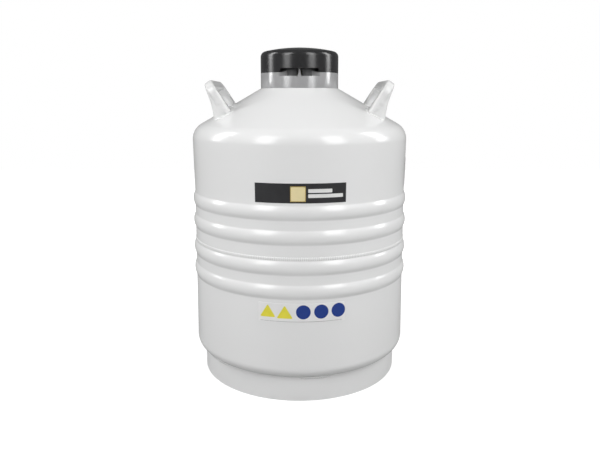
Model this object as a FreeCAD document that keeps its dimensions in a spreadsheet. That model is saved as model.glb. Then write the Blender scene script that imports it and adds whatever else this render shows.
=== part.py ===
import FreeCAD, Part
import math
import os
from types import SimpleNamespace

import Sketcher

# A 15 litre liquid nitrogen dewar: an aluminium vacuum flask with a narrow neck, a lift-off lid
# that carries a long foam plug, two cast handles on the shoulder and a foot ring.
# Frame: millimetres, +Z up, the origin on the floor on the vessel's axis, the front towards -Y.

doc = FreeCAD.newDocument("nitrogen_dewar")

# ---------------------------------------------------------------- driving dimensions

DIMENSIONS = {
    # outer shell
    "wall_radius": 193.7,
    "shoulder_radius": 195.9,
    "shell_sheet": 2.0,
    "taper_start": 332.0,
    "shoulder_corner": 31.4,
    "shoulder_slope": 30.1,
    "neck_foot_height": 517.2,
    "neck_flat_radius": 60.0,
    "shell_mouth_radius": 36.0,
    "girth_height": 246.4,
    "bottom_height": 42.0,
    "bottom_corner": 19.5,
    "bottom_bulge": 26.0,
    # pressed ribs
    "rib_one_height": 320.3,
    "rib_two_height": 280.4,
    "rib_three_height": 231.2,
    "rib_four_height": 191.4,
    "rib_width": 23.0,
    "rib_rise": 3.3,
    # welds
    "bead_seat": 0.02,
    "girth_bead_width": 4.0,
    "girth_bead_rise": 0.7,
    "stitch_angle": 17.0,
    "stitch_count": 6,
    "stitch_gap": 0.05,
    "stitch_drop": 2.8,
    "stitch_climb": 1.2,
    "stitch_root": 0.5,
    "stitch_reach": 3.0,
    "stitch_bulge": 4.5,
    # foot ring
    "foot_radius": 179.2,
    "foot_sheet": 3.0,
    # handles
    "handle_lean": 33.0,
    "handle_base_reach": 120.4,
    "handle_base_height": 481.0,
    "handle_rise": 61.5,
    "handle_depth": 15.0,
    "handle_top_depth": 14.0,
    "handle_foot_depth": 6.3,
    "handle_bulge": 128.0,
    "handle_top_half": 81.0,
    "handle_foot_half": 82.5,
    "handle_foot_drop": 18.0,
    "handle_corner": 24.0,
    "handle_round": 2.5,
    "grip_thickness": 16.0,
    "gap_top_half": 66.0,
    "gap_foot_half": 57.0,
    "gap_corner": 12.0,
    "gusset_inset": 2.5,
    "gusset_foot": 31.5,
    "gusset_knee": 26.5,
    "gusset_knee_height": 8.5,
    "gusset_waist": 19.5,
    "gusset_waist_height": 31.0,
    "vent_reach": 12.5,
    "vent_rise": 9.5,
    "vent_radius": 1.8,
    "vent_depth": 6.0,
    "foot_bead_rise": 2.4,
    "foot_bead_spread": 3.0,
    "foot_bead_corner": 8.0,
    # neck
    "neck_bore_radius": 25.0,
    "neck_tube_wall": 1.5,
    "neck_tube_bottom": 366.0,
    "neck_tube_top": 549.0,
    "glue_gap": 0.2,
    "fit_gap": 0.1,
    "hub_flange_radius": 46.0,
    "hub_flange_height": 6.0,
    "hub_spigot_radius": 35.8,
    "hub_spigot_length": 18.0,
    # collar and its padlock lug
    "collar_radius": 71.0,
    "collar_top": 544.5,
    "collar_rise": 3.5,
    "collar_skirt": 6.0,
    "collar_floor": 4.0,
    "collar_rim": 5.0,
    "collar_lift": 0.2,
    "collar_ledge": 538.0,
    "liner_radius": 54.0,
    "liner_wall": 5.0,
    "liner_top": 553.0,
    "recess_outer_half": 36.5,
    "recess_inner_half": 20.5,
    "recess_shallow_reach": 61.8,
    "recess_deep_reach": 48.6,
    "lug_foot_half": 3.2,
    "lug_tip_half": 0.8,
    "lug_tip_height": 551.0,
    "lug_slot": 2.4,
    "screw_circle": 36.0,
    "screw_radius": 2.0,
    "screw_bite": 3.2,
    "screw_head_height": 2.6,
    "screw_head_ratio": 1.8,
    "screw_count": 4,
    # lid
    "lid_radius": 71.0,
    "lid_gap": 0.4,
    "lid_wall": 3.2,
    "lid_top": 590.5,
    "lid_crown": 290.0,
    "lid_corner": 10.0,
    "notch_half": 33.2,
    "notch_foot_half": 37.2,
    "notch_top": 551.6,
    "notch_chamfer_height": 547.6,
    "notch_lip": 0.6,
    "lid_disc_height": 560.0,
    "lid_disc_thickness": 3.0,
    # plug
    "plug_radius": 24.0,
    "plug_bottom": 392.0,
    "plug_lead_in": 2.0,
    "plug_lead_height": 4.0,
    "plug_head_radius": 46.0,
    "plug_rod_radius": 3.0,
    "plug_rod_tail": 9.0,
    "plug_rod_head": 7.5,
    "plug_washer_radius": 14.0,
    "plug_washer_thickness": 2.0,
    "plug_nut_radius": 6.5,
    "plug_nut_length": 5.0,
    "foam_gap": 1.2,
    "foam_well_roof": 4.0,
    # inner vessel
    "vessel_radius": 137.0,
    "vessel_sheet": 1.5,
    "vessel_crown": 200.0,
    "vessel_knuckle": 30.0,
    "vessel_low_knuckle": 140.0,
    "vessel_high_knuckle": 311.0,
    "vessel_seam": 225.5,
    "vessel_bead_half": 2.0,
    "vessel_bead_bulge": 3.6,
    "neck_ring_width": 7.0,
    "neck_ring_height": 8.9,
    "blanket_gap": 1.0,
    "blanket_thickness": 22.0,
    "blanket_mouth": 80.0,
    # adsorbent and getter
    "tray_inner": 37.0,
    "tray_outer": 72.0,
    "tray_bottom": 382.0,
    "tray_height": 16.0,
    "tray_sheet": 1.0,
    "tray_freeboard": 2.0,
    "getter_radius": 6.0,
    "getter_length": 26.0,
    "getter_reach": 80.0,
    "getter_lift": 6.2,
    # vacuum port
    "port_reach": 118.0,
    "port_bore": 10.08,
    "port_tube_radius": 13.0,
    "port_flange_radius": 20.0,
    "port_flange_height": 5.0,
    "port_boss_step": 1.0,
    "port_seat": 0.05,
    "port_rise": 16.0,
    "port_depth": 18.0,
    "port_plug_radius": 10.0,
    "port_plug_head": 12.5,
    "port_plug_lip": 2.9,
    "port_plug_tail": 6.0,
    "port_plug_chamfer": 1.0,
    "port_ring_radius": 0.8,
    "port_ring_slack": 0.03,
    "port_ring_pitch": 8.0,
    "cap_radius": 23.5,
    "cap_wall": 2.5,
    "cap_top": 34.0,
    "cap_foot": 0.8,
    "cap_corner": 4.0,
    # labels
    "label_sheet": 0.35,
    "label_gap": 0.05,
    "front_label_half_angle": 21.8,
    "front_label_turn": -89.5,
    "front_label_low": 336.9,
    "front_label_high": 368.3,
    "safety_label_half_angle": 21.2,
    "safety_label_turn": -88.9,
    "safety_label_low": 141.5,
    "safety_label_high": 173.0,
    "side_label_low": 343.0,
    "side_label_high": 393.0,
    "side_label_half_angle": 20.0,
    "side_label_turn": 8.0,
}

sheet = doc.addObject("Spreadsheet::Sheet", "Dimensions")
for row, (alias, value) in enumerate(DIMENSIONS.items(), start=1):
    sheet.set(f"A{row}", alias)
    sheet.set(f"B{row}", str(value))
    sheet.setAlias(f"B{row}", alias)
doc.recompute()


class Size:
    """A number, together with the spreadsheet expression that gives it."""

    def __init__(self, value, text):
        self.value = value
        self.text = text

    def __add__(self, other):
        other = as_size(other)
        return Size(self.value + other.value, f"({self.text} + {other.text})")

    def __sub__(self, other):
        other = as_size(other)
        return Size(self.value - other.value, f"({self.text} - {other.text})")

    def __mul__(self, other):
        other = as_size(other)
        return Size(self.value * other.value, f"({self.text} * {other.text})")

    def __truediv__(self, other):
        other = as_size(other)
        return Size(self.value / other.value, f"({self.text} / {other.text})")

    def __neg__(self):
        return Size(-self.value, f"(0 - {self.text})")


def as_size(number):
    """A plain number becomes a Size of itself."""
    if isinstance(number, Size):
        return number
    return Size(float(number), repr(float(number)))


def root(size):
    return Size(math.sqrt(size.value), f"sqrt({size.text})")


def sine(angle):
    return Size(math.sin(math.radians(angle.value)), f"sin({angle.text} * 1 deg)")


def cosine(angle):
    return Size(math.cos(math.radians(angle.value)), f"cos({angle.text} * 1 deg)")


def tangent(angle):
    return Size(math.tan(math.radians(angle.value)), f"tan({angle.text} * 1 deg)")


dim = SimpleNamespace(**{
    alias: Size(float(value), f"Dimensions.{alias}") for alias, value in DIMENSIONS.items()
})

# ---------------------------------------------------------------- ways of making a piece


def new_body(label):
    body = doc.addObject("PartDesign::Body", label)
    body.Label = label
    return body


def origin_plane(body, role):
    for feature in body.Origin.OriginFeatures:
        if feature.Role == role:
            return feature
    raise ValueError(f"{body.Label} has no {role}")


def new_sketch(body, role="XZ_Plane"):
    """A sketch on one of the body's own origin planes."""
    sketch = body.newObject("Sketcher::SketchObject", body.Label + "_sketch")
    sketch.AttachmentSupport = (origin_plane(body, role), "")
    sketch.MapMode = "FlatFace"
    return sketch


def lift_sketch(sketch, height):
    """Moves a sketch on the XY plane up to a height."""
    sketch.AttachmentOffset = FreeCAD.Placement(
        FreeCAD.Vector(0, 0, height.value), FreeCAD.Rotation()
    )
    sketch.setExpression("AttachmentOffset.Base.z", height.text)


def bind(sketch, kind, arguments, size):
    """A dimensional constraint whose value follows the sheet."""
    index = sketch.addConstraint(Sketcher.Constraint(kind, *arguments, size.value))
    sketch.setExpression(f"Constraints[{index}]", size.text)


def place_point(sketch, side, end, point):
    """Fixes one end of a side at its distance from the sketch's two axes."""
    for size, kind, axis in ((point[0], "DistanceX", -2), (point[1], "DistanceY", -1)):
        size = as_size(size)
        if size.value == 0:
            sketch.addConstraint(Sketcher.Constraint("PointOnObject", side, end, axis))
        else:
            bind(sketch, kind, (-1, 1, side, end), size)


def arc_between(start, end, radius):
    """The short arc from start to end: to the left of the chord for a positive radius."""
    first = FreeCAD.Vector(start[0].value, start[1].value, 0)
    last = FreeCAD.Vector(end[0].value, end[1].value, 0)
    chord = last - first
    half = chord.Length / 2
    rise = math.sqrt(max(radius.value ** 2 - half ** 2, 0))
    across = FreeCAD.Vector(-chord.y, chord.x, 0).normalize()
    if radius.value < 0:
        across = -across
    centre = (first + last) / 2 + across * rise
    begin, finish = (first, last) if radius.value > 0 else (last, first)
    circle = Part.Circle(centre, FreeCAD.Vector(0, 0, 1), abs(radius.value))
    return Part.ArcOfCircle(circle, circle.parameter(begin), circle.parameter(finish))


def draw_outline(sketch, corners):
    """A closed outline. A corner is (x, y), or (x, y, radius) where the side that leaves it is an
    arc: its centre is on the left of the way round for a positive radius, on the right for a
    negative one."""
    corners = [tuple(as_size(number) for number in corner) for corner in corners]
    ends = []
    for number, corner in enumerate(corners):
        following = corners[(number + 1) % len(corners)]
        if len(corner) == 3:
            side = sketch.addGeometry(arc_between(corner, following, corner[2]), False)
            forward = corner[2].value > 0
            ends.append((side, 1, 2) if forward else (side, 2, 1))
            radius = corner[2] if forward else -corner[2]
            bind(sketch, "Radius", (side,), radius)
        else:
            line = Part.LineSegment(
                FreeCAD.Vector(corner[0].value, corner[1].value, 0),
                FreeCAD.Vector(following[0].value, following[1].value, 0),
            )
            side = sketch.addGeometry(line, False)
            ends.append((side, 1, 2))
    for number, corner in enumerate(corners):
        side, start, _ = ends[number]
        before, _, finish = ends[number - 1]
        sketch.addConstraint(Sketcher.Constraint("Coincident", before, finish, side, start))
        place_point(sketch, side, start, corner)


def draw_circle(sketch, x, y, radius):
    x, y, radius = as_size(x), as_size(y), as_size(radius)
    circle = Part.Circle(FreeCAD.Vector(x.value, y.value, 0), FreeCAD.Vector(0, 0, 1), radius.value)
    side = sketch.addGeometry(circle, False)
    bind(sketch, "Radius", (side,), radius)
    place_point(sketch, side, 3, (x, y))


def revolve(label, corners, half_angle=None):
    """A body turned about Z from an outline in the XZ plane, all round or to each side of it."""
    body = new_body(label)
    sketch = new_sketch(body)
    draw_outline(sketch, corners)
    turned = body.newObject("PartDesign::Revolution", label + "_turned")
    turned.Profile = sketch
    turned.ReferenceAxis = (sketch, ["V_Axis"])
    if half_angle is not None:
        turned.Midplane = True
        turned.setExpression("Angle", f"2 * {half_angle.text}")
    return body


def pad(body, role, corners, length):
    """Adds a prism that reaches equally to both sides of an origin plane."""
    sketch = new_sketch(body, role)
    draw_outline(sketch, corners)
    prism = body.newObject("PartDesign::Pad", body.Label + "_pad")
    prism.Profile = sketch
    prism.Midplane = True
    prism.setExpression("Length", as_size(length).text)
    return prism


def pocket(body, role, drawings, length=None, both_ways=False, reverse=False):
    """Cuts outlines, or (x, y, radius) circles, through the body from an origin plane."""
    sketch = new_sketch(body, role)
    for drawing in drawings:
        if isinstance(drawing, tuple):
            draw_circle(sketch, *drawing)
        else:
            draw_outline(sketch, drawing)
    cut = body.newObject("PartDesign::Pocket", body.Label + "_pocket")
    cut.Profile = sketch
    cut.Midplane = both_ways
    cut.Reversed = reverse
    if length is None:
        cut.Type = "ThroughAll"
    else:
        cut.setExpression("Length", as_size(length).text)
    return cut


def polar_pattern(body, feature, count):
    """Repeats a feature evenly round the body's Z axis."""
    pattern = body.newObject("PartDesign::PolarPattern", body.Label + "_pattern")
    pattern.Originals = [feature]
    pattern.Axis = (origin_plane(body, "Z_Axis"), [""])
    pattern.Angle = 360
    pattern.setExpression("Occurrences", count.text)
    body.Tip = pattern
    return pattern


def cut_away(label, base, tool):
    """What is left of base outside tool."""
    result = doc.addObject("Part::Cut", label)
    result.Label = label
    result.Base = base
    result.Tool = tool
    return result


def overlap(label, first, second):
    """What two shapes have in common."""
    result = doc.addObject("Part::Common", label)
    result.Label = label
    result.Base = first
    result.Tool = second
    return result


def opposite_copy(label, source):
    """The same piece on the vessel's other side, half a turn round the axis."""
    result = doc.addObject("Part::Compound", label)
    result.Label = label
    result.Links = [source]
    result.Placement = FreeCAD.Placement(
        FreeCAD.Vector(0, 0, 0), FreeCAD.Rotation(FreeCAD.Vector(0, 0, 1), 180)
    )
    return result


def stand_on_slope(piece, reach, angle):
    """Puts a piece's own Z axis square to the shoulder at the rear, at this reach from Z."""
    height = shoulder_height(reach)
    piece.Placement = FreeCAD.Placement(
        FreeCAD.Vector(0, reach.value, height.value),
        FreeCAD.Rotation(FreeCAD.Vector(-1, 0, 0), angle.value),
    )
    piece.setExpression("Placement.Base.y", reach.text)
    piece.setExpression("Placement.Base.z", height.text)
    piece.setExpression("Placement.Rotation.Angle", angle.text)


# ---------------------------------------------------------------- outlines shared by pieces


def shoulder_height(reach):
    """Height of the outer cone at a distance from the axis."""
    return dim.neck_foot_height - (reach - dim.collar_radius) * tangent(dim.shoulder_slope)


def rib(height, radius, upwards):
    """A pressed bead's two crease corners, the first with the bead's arc."""
    half = dim.rib_width / 2
    bulge = (half * half + dim.rib_rise * dim.rib_rise) / (dim.rib_rise * 2)
    if upwards:
        return [(radius, height - half, bulge), (radius, height + half)]
    return [(radius, height + half, -bulge), (radius, height - half)]


def dished_end(radius, crown, knuckle, knuckle_height, mouth, sense):
    """A dished end's corners from the wall to the mouth: a knuckle arc, then a crown arc.
    sense is +1 for an end on top and -1 for one below."""
    across = radius - knuckle
    along = root((crown - knuckle) * (crown - knuckle) - across * across)
    scale = crown / (crown - knuckle)
    centre = knuckle_height - along * sense
    meeting = (across * scale, centre + along * scale * sense)
    if as_size(mouth).value == 0:
        rim = crown
    else:
        rim = root(crown * crown - mouth * mouth)
    return [
        (radius, knuckle_height, knuckle * sense),
        (meeting[0], meeting[1], crown * sense),
        (mouth, centre + rim * sense),
    ]


def turn_back(corners):
    """The same outline walked the other way."""
    backwards = []
    count = len(corners)
    for number in range(count - 1, -1, -1):
        x, y = corners[number][:2]
        before = corners[number - 1] if number > 0 else ()
        backwards.append((x, y, -before[2]) if len(before) == 3 else (x, y))
    return backwards


# ---------------------------------------------------------------- outer shell

sheet_gauge = dim.shell_sheet
corner_centre = dim.shoulder_radius - dim.shoulder_corner
cone_end = corner_centre + dim.shoulder_corner * sine(dim.shoulder_slope)
cone_end_height = shoulder_height(cone_end)
corner_height = cone_end_height - dim.shoulder_corner * cosine(dim.shoulder_slope)
neck_flat_height = shoulder_height(dim.neck_flat_radius)


def make_outer_shell_upper():
    """The spun upper half: two ribs, a taper, the round corner, the cone and the neck seat."""
    wall = dim.wall_radius
    inner_wall = wall - sheet_gauge
    inner_corner = dim.shoulder_corner - sheet_gauge
    inner_flat = dim.neck_flat_radius - sheet_gauge * tangent(dim.shoulder_slope / 2)
    outside = [(wall, dim.girth_height)]
    outside += rib(dim.rib_two_height, wall, True) + rib(dim.rib_one_height, wall, True)
    outside += [
        (wall, dim.taper_start + sheet_gauge),
        (dim.shoulder_radius, corner_height, dim.shoulder_corner),
        (cone_end, cone_end_height),
        (dim.neck_flat_radius, neck_flat_height),
        (dim.shell_mouth_radius, neck_flat_height),
    ]
    inside = [
        (dim.shell_mouth_radius, neck_flat_height - sheet_gauge),
        (inner_flat, neck_flat_height - sheet_gauge),
        (
            corner_centre + inner_corner * sine(dim.shoulder_slope),
            corner_height + inner_corner * cosine(dim.shoulder_slope),
            -inner_corner,
        ),
        (dim.shoulder_radius - sheet_gauge, corner_height),
        (inner_wall, dim.taper_start + sheet_gauge),
    ]
    inside += rib(dim.rib_one_height, inner_wall, False)
    inside += rib(dim.rib_two_height, inner_wall, False)
    inside += [(inner_wall, dim.girth_height)]
    body = revolve("outer_shell_upper", outside + inside)
    hole = body.newObject("PartDesign::SubtractiveCylinder", "port_hole")
    hole.setExpression("Radius", (dim.port_tube_radius + dim.fit_gap).text)
    hole.setExpression("Height", (dim.port_depth * 2).text)
    height = shoulder_height(dim.port_reach)
    turned_back = FreeCAD.Rotation(FreeCAD.Vector(1, 0, 0), -dim.shoulder_slope.value)
    centre = FreeCAD.Vector(0, dim.port_reach.value, height.value)
    start = centre + turned_back.multVec(FreeCAD.Vector(0, 0, -dim.port_depth.value))
    hole.Placement = FreeCAD.Placement(start, turned_back)
    return body


def make_outer_shell_lower():
    """The spun lower half: two ribs, the round bottom corner and a shallow domed bottom."""
    wall = dim.wall_radius
    inner_wall = wall - sheet_gauge
    rise = dim.bottom_height + dim.bottom_corner
    dome_edge = wall - dim.bottom_corner
    low = dim.bottom_height - dim.bottom_bulge
    dome = (dome_edge * dome_edge + dim.bottom_bulge * dim.bottom_bulge) / (dim.bottom_bulge * 2)
    outside = [(wall, dim.girth_height)]
    outside += rib(dim.rib_three_height, wall, False) + rib(dim.rib_four_height, wall, False)
    outside += [
        (wall, rise, -dim.bottom_corner),
        (dome_edge, dim.bottom_height, -dome),
        (0, low),
    ]
    inside = [
        (0, low + sheet_gauge, dome),
        (dome_edge, dim.bottom_height + sheet_gauge, dim.bottom_corner - sheet_gauge),
        (inner_wall, rise),
    ]
    inside += rib(dim.rib_four_height, inner_wall, True)
    inside += rib(dim.rib_three_height, inner_wall, True)
    inside += [(inner_wall, dim.girth_height)]
    return revolve("outer_shell_lower", outside + inside)


def make_girth_weld():
    """The bead that joins the two halves, all round."""
    half = dim.girth_bead_width / 2
    rise = dim.girth_bead_rise
    bulge = (half * half + rise * rise) / (rise * 2)
    skin = dim.wall_radius + dim.bead_seat
    return revolve("girth_weld", [
        (skin, dim.girth_height - half, bulge),
        (skin, dim.girth_height + half),
    ])


def make_foot_ring():
    """A rolled strip under the shell, which the vessel stands on."""
    inner = dim.foot_radius - dim.foot_sheet
    return revolve("foot_ring", [
        (inner, 0),
        (dim.foot_radius, 0),
        (dim.foot_radius, dim.bottom_height),
        (inner, dim.bottom_height),
    ])


def make_foot_welds():
    """Stitch welds between the ring's top edge and the shell's corner, starting at the front."""
    half_angle = dim.stitch_angle / 2
    root_radius = dim.foot_radius + dim.stitch_gap
    body = revolve("foot_welds", [
        (root_radius, dim.bottom_height - dim.stitch_drop, dim.stitch_bulge),
        (root_radius + dim.stitch_reach, dim.bottom_height + dim.stitch_climb),
        (root_radius, dim.bottom_height + dim.stitch_root),
    ], half_angle)
    polar_pattern(body, body.Tip, dim.stitch_count)
    turn = half_angle - 90
    body.Placement = FreeCAD.Placement(
        FreeCAD.Vector(0, 0, 0), FreeCAD.Rotation(FreeCAD.Vector(0, 0, 1), turn.value)
    )
    return body


# ---------------------------------------------------------------- handles


def lean_out(piece):
    """Puts a handle piece's own frame on the right shoulder, leaning out with it."""
    piece.Placement = FreeCAD.Placement(
        FreeCAD.Vector(dim.handle_base_reach.value, 0, dim.handle_base_height.value),
        FreeCAD.Rotation(FreeCAD.Vector(0, 1, 0), dim.handle_lean.value),
    )
    piece.setExpression("Placement.Base.x", dim.handle_base_reach.text)
    piece.setExpression("Placement.Base.z", dim.handle_base_height.text)
    piece.setExpression("Placement.Rotation.Angle", dim.handle_lean.text)


OVERSIZE = 1.4      # how far blanks and cutters reach past the handle


def rounded_bar(half_top, half_foot, top, foot, corner):
    """A symmetrical outline in the YZ plane, with top corners tangent to the legs and the top."""
    slope = (half_foot - half_top) / (top + foot)
    slant = root(slope * slope + 1)
    middle = half_top + slope * corner - corner * slant
    leg = middle + corner / slant
    leg_height = top - corner + corner * slope / slant
    return [
        (-half_foot, -foot),
        (half_foot, -foot),
        (leg, leg_height, corner),
        (middle, top),
        (-middle, top, corner),
        (-leg, leg_height),
    ]


def handle_blank(label, side_outline, inset):
    """A prism with this side view, trimmed to the loop's outline seen square on."""
    body = new_body(label)
    far = dim.handle_foot_half * OVERSIZE
    pad(body, "XZ_Plane", side_outline, far * 2)
    top = dim.handle_rise * OVERSIZE
    foot = dim.handle_foot_drop
    low = foot * OVERSIZE
    outline = rounded_bar(
        dim.handle_top_half - inset, dim.handle_foot_half - inset, dim.handle_rise, foot,
        dim.handle_corner,
    )
    frame = [(-far, -low), (far, -low), (far, top), (-far, top)]
    pocket(body, "YZ_Plane", [frame, outline], both_ways=True)
    gap = rounded_bar(
        dim.gap_top_half, dim.gap_foot_half, dim.handle_rise - dim.grip_thickness, low,
        dim.gap_corner,
    )
    pocket(body, "YZ_Plane", [gap], both_ways=True)
    lean_out(body)
    return body


def round_edges(body, radius, chosen):
    """Rounds the edges of the body's last feature that pass the test."""
    doc.recompute()
    tip = body.Tip
    names = [
        f"Edge{number}" for number, edge in enumerate(tip.Shape.Edges, start=1) if chosen(edge)
    ]
    fillet = body.newObject("PartDesign::Fillet", body.Label + "_round")
    fillet.Base = (tip, names)
    fillet.setExpression("Radius", radius.text)
    body.Tip = fillet
    return fillet


def make_handle(vessel):
    """A cast loop: a band that makes both legs and the grip, with a gusset behind each leg."""
    depth = dim.handle_depth
    top = dim.handle_rise
    foot = dim.handle_foot_drop
    band = handle_blank("handle_band", [
        (0, -foot),
        (dim.handle_foot_depth, -foot, dim.handle_bulge),
        (dim.handle_top_depth, top),
        (0, top),
    ], as_size(0))
    gap_top = top.value - dim.grip_thickness.value

    def on_loop(edge):
        """The long edges of both outlines, without those under the shoulder or across the band."""
        box = edge.BoundBox
        across = box.XLength > dim.handle_foot_depth.value - 1 and box.YLength < 1
        level = box.ZLength < 0.1 and box.ZMax < gap_top - 1
        return not across and not level and box.ZMax > -foot.value + 1

    round_edges(band, dim.handle_round, on_loop)
    pocket(band, "XZ_Plane", [(dim.vent_reach, dim.vent_rise, dim.vent_radius)],
           length=(dim.gap_foot_half + dim.vent_depth) * 2, both_ways=True)
    gusset = handle_blank("handle_gusset", [
        (depth / 2, -foot),
        (dim.gusset_foot, -foot),
        (dim.gusset_knee, dim.gusset_knee_height),
        (dim.gusset_waist, dim.gusset_waist_height),
        (depth + 1, top * 0.8),
        (depth - 2, top / 2),
    ], dim.gusset_inset)
    joined = doc.addObject("Part::Fuse", "handle_joined")
    joined.Base = band
    joined.Tool = gusset
    return cut_away("handle_right", joined, vessel)


def shoulder_cone(label, low, high):
    """A solid of revolution between two offsets from the outer cone; low None means from below."""
    near = dim.collar_radius - 1
    far = dim.shoulder_radius - dim.shoulder_corner / 3
    inside = dim.rib_one_height
    lift = 1 / math.cos(math.radians(dim.shoulder_slope.value))
    top = [(near, shoulder_height(near) + high * lift), (far, shoulder_height(far) + high * lift)]
    if low is None:
        base = [(far, inside), (near, inside)]
    else:
        base = [(far, shoulder_height(far) + low * lift), (near, shoulder_height(near) + low * lift)]
    return revolve(label, top + base)


def make_handle_weld(handle):
    """The bead round each foot of the handle, where it meets the shell."""
    skin = shoulder_cone("bead_skin", as_size(0), dim.foot_bead_rise)
    spread = dim.foot_bead_spread
    back = -(spread * 2)
    front = dim.gusset_foot + spread
    low = -(dim.handle_base_height / 12)
    high = dim.handle_foot_drop
    past = 1
    footprint = new_body("bead_footprint")
    pad(footprint, "XZ_Plane", [(back, low), (front, low), (front, high), (back, high)],
        (dim.handle_foot_half + spread) * 2)
    pocket(footprint, "XZ_Plane", [[
        (back - past, low - past), (front + past, low - past),
        (front + past, high + past), (back - past, high + past),
    ]], length=(dim.gap_foot_half - spread) * 2, both_ways=True)

    def corner_edge(edge):
        return edge.BoundBox.ZLength > 20 and edge.BoundBox.YLength < 0.1

    round_edges(footprint, dim.foot_bead_corner, corner_edge)
    lean_out(footprint)
    bead = overlap("bead_blank", skin, footprint)
    return cut_away("handle_weld_right", bead, handle)


# ---------------------------------------------------------------- neck and collar

tube_radius = dim.neck_bore_radius + dim.neck_tube_wall
hub_top = neck_flat_height + dim.hub_flange_height
floor_top = hub_top + dim.collar_floor
liner_seat = dim.liner_radius + dim.glue_gap
collar_bore = tube_radius + 1


def screw_circles(clearance):
    """The four screw holes' circles, for a sketch in the XY plane."""
    reach = dim.screw_circle
    radius = dim.screw_radius + clearance
    return [(reach, 0, radius), (-reach, 0, radius), (0, reach, radius), (0, -reach, radius)]


def make_neck_hub():
    """The machined ring welded in the shell's mouth, which the neck tube hangs from."""
    bore = tube_radius + dim.glue_gap
    hub = revolve("neck_hub", [
        (bore, neck_flat_height - dim.hub_spigot_length),
        (dim.hub_spigot_radius, neck_flat_height - dim.hub_spigot_length),
        (dim.hub_spigot_radius, neck_flat_height),
        (dim.hub_flange_radius, neck_flat_height),
        (dim.hub_flange_radius, hub_top),
        (bore, hub_top),
    ])
    sketch = new_sketch(hub, "XY_Plane")
    for circle in screw_circles(dim.fit_gap / 2):
        draw_circle(sketch, *circle)
    lift_sketch(sketch, hub_top - dim.screw_bite)
    holes = hub.newObject("PartDesign::Pocket", "hub_screw_holes")
    holes.Profile = sketch
    holes.Type = "ThroughAll"
    holes.Reversed = True
    return hub


def make_neck_tube():
    """A thin glass-fibre tube, the only bridge between the warm and the cold vessel."""
    return revolve("neck_tube", [
        (dim.neck_bore_radius, dim.neck_tube_bottom),
        (tube_radius, dim.neck_tube_bottom),
        (tube_radius, dim.neck_tube_top),
        (dim.neck_bore_radius, dim.neck_tube_top),
    ])


def make_collar():
    """The moulded collar over the neck's foot, with the recess for a padlock at the front."""
    outer = dim.collar_radius
    skirt_inner = outer - dim.collar_skirt
    skirt_lift = dim.collar_lift
    collar = revolve("neck_collar", [
        (collar_bore, hub_top),
        (skirt_inner, hub_top),
        (skirt_inner, shoulder_height(skirt_inner) + skirt_lift),
        (outer, shoulder_height(outer) + skirt_lift),
        (outer, dim.collar_top),
        (outer - dim.collar_rim, dim.collar_top),
        (liner_seat, dim.collar_top + dim.collar_rise),
        (liner_seat, floor_top),
        (collar_bore, floor_top),
    ])
    near = -(dim.collar_radius + 2)
    shallow = -dim.recess_shallow_reach
    deep = -dim.recess_deep_reach
    recess = [
        (-dim.recess_outer_half, near),
        (dim.recess_outer_half, near),
        (dim.recess_outer_half, shallow),
        (dim.recess_inner_half, deep),
        (-dim.recess_inner_half, deep),
        (-dim.recess_outer_half, shallow),
    ]
    sketch = new_sketch(collar, "XY_Plane")
    draw_outline(sketch, recess)
    lift_sketch(sketch, dim.collar_ledge)
    cut = collar.newObject("PartDesign::Pocket", "collar_recess")
    cut.Profile = sketch
    cut.Type = "ThroughAll"
    cut.Reversed = True
    pocket(collar, "XY_Plane", screw_circles(dim.glue_gap), reverse=True)
    return collar


def make_collar_liner():
    """The dark ring inside the collar, slotted at the front beside the padlock lug."""
    inner = dim.liner_radius - dim.liner_wall
    liner = revolve("collar_liner", [
        (inner, floor_top),
        (dim.liner_radius, floor_top),
        (dim.liner_radius, dim.liner_top),
        (inner, dim.liner_top),
    ])
    foot = dim.lug_foot_half + dim.lug_slot
    tip = dim.lug_tip_half + dim.lug_slot
    past = 1
    pocket(liner, "XZ_Plane", [[
        (-foot, floor_top - past),
        (foot, floor_top - past),
        (tip, dim.liner_top + past),
        (-tip, dim.liner_top + past),
    ]], reverse=True)
    return liner


def make_lock_lug():
    """An upright tapered fin at the collar's front, which a padlock passes beside."""
    lug = new_body("lock_lug")
    sketch = new_sketch(lug)
    draw_outline(sketch, [
        (-dim.lug_foot_half, dim.collar_ledge),
        (dim.lug_foot_half, dim.collar_ledge),
        (dim.lug_tip_half, dim.lug_tip_height),
        (-dim.lug_tip_half, dim.lug_tip_height),
    ])
    fin = lug.newObject("PartDesign::Pad", "lug_fin")
    fin.Profile = sketch
    fin.setExpression("Length", dim.recess_shallow_reach.text)
    wide = dim.lug_foot_half * 2
    past = 1
    pocket(lug, "XZ_Plane", [[
        (-wide, dim.collar_ledge - past), (wide, dim.collar_ledge - past),
        (wide, dim.lug_tip_height + past), (-wide, dim.lug_tip_height + past),
    ]], length=dim.liner_radius - dim.liner_wall + 1, reverse=True)
    return lug


def make_collar_screws():
    """Cheese-head screws that hold the collar's floor down to the hub."""
    shank = dim.screw_radius
    bite = dim.collar_floor + dim.screw_bite - dim.glue_gap
    rim = shank * dim.screw_head_ratio
    head = bite + dim.screw_head_height
    screws = revolve("collar_screw_blank", [
        (0, 0), (shank, 0), (shank, bite), (rim, bite), (rim, head), (0, head),
    ])
    seat = floor_top - bite
    group = doc.addObject("Part::Compound", "collar_screws")
    group.Label = "collar_screws"
    links = []
    for number in range(int(dim.screw_count.value)):
        angle = math.radians(360 * number / dim.screw_count.value)
        copy = doc.addObject("Part::Feature", f"collar_screw_{number}")
        doc.recompute()
        copy.Shape = screws.Shape
        copy.Placement = FreeCAD.Placement(
            FreeCAD.Vector(
                dim.screw_circle.value * math.cos(angle),
                dim.screw_circle.value * math.sin(angle),
                seat.value,
            ),
            FreeCAD.Rotation(),
        )
        links.append(copy)
    group.Links = links
    return group


# ---------------------------------------------------------------- lid and plug


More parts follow.
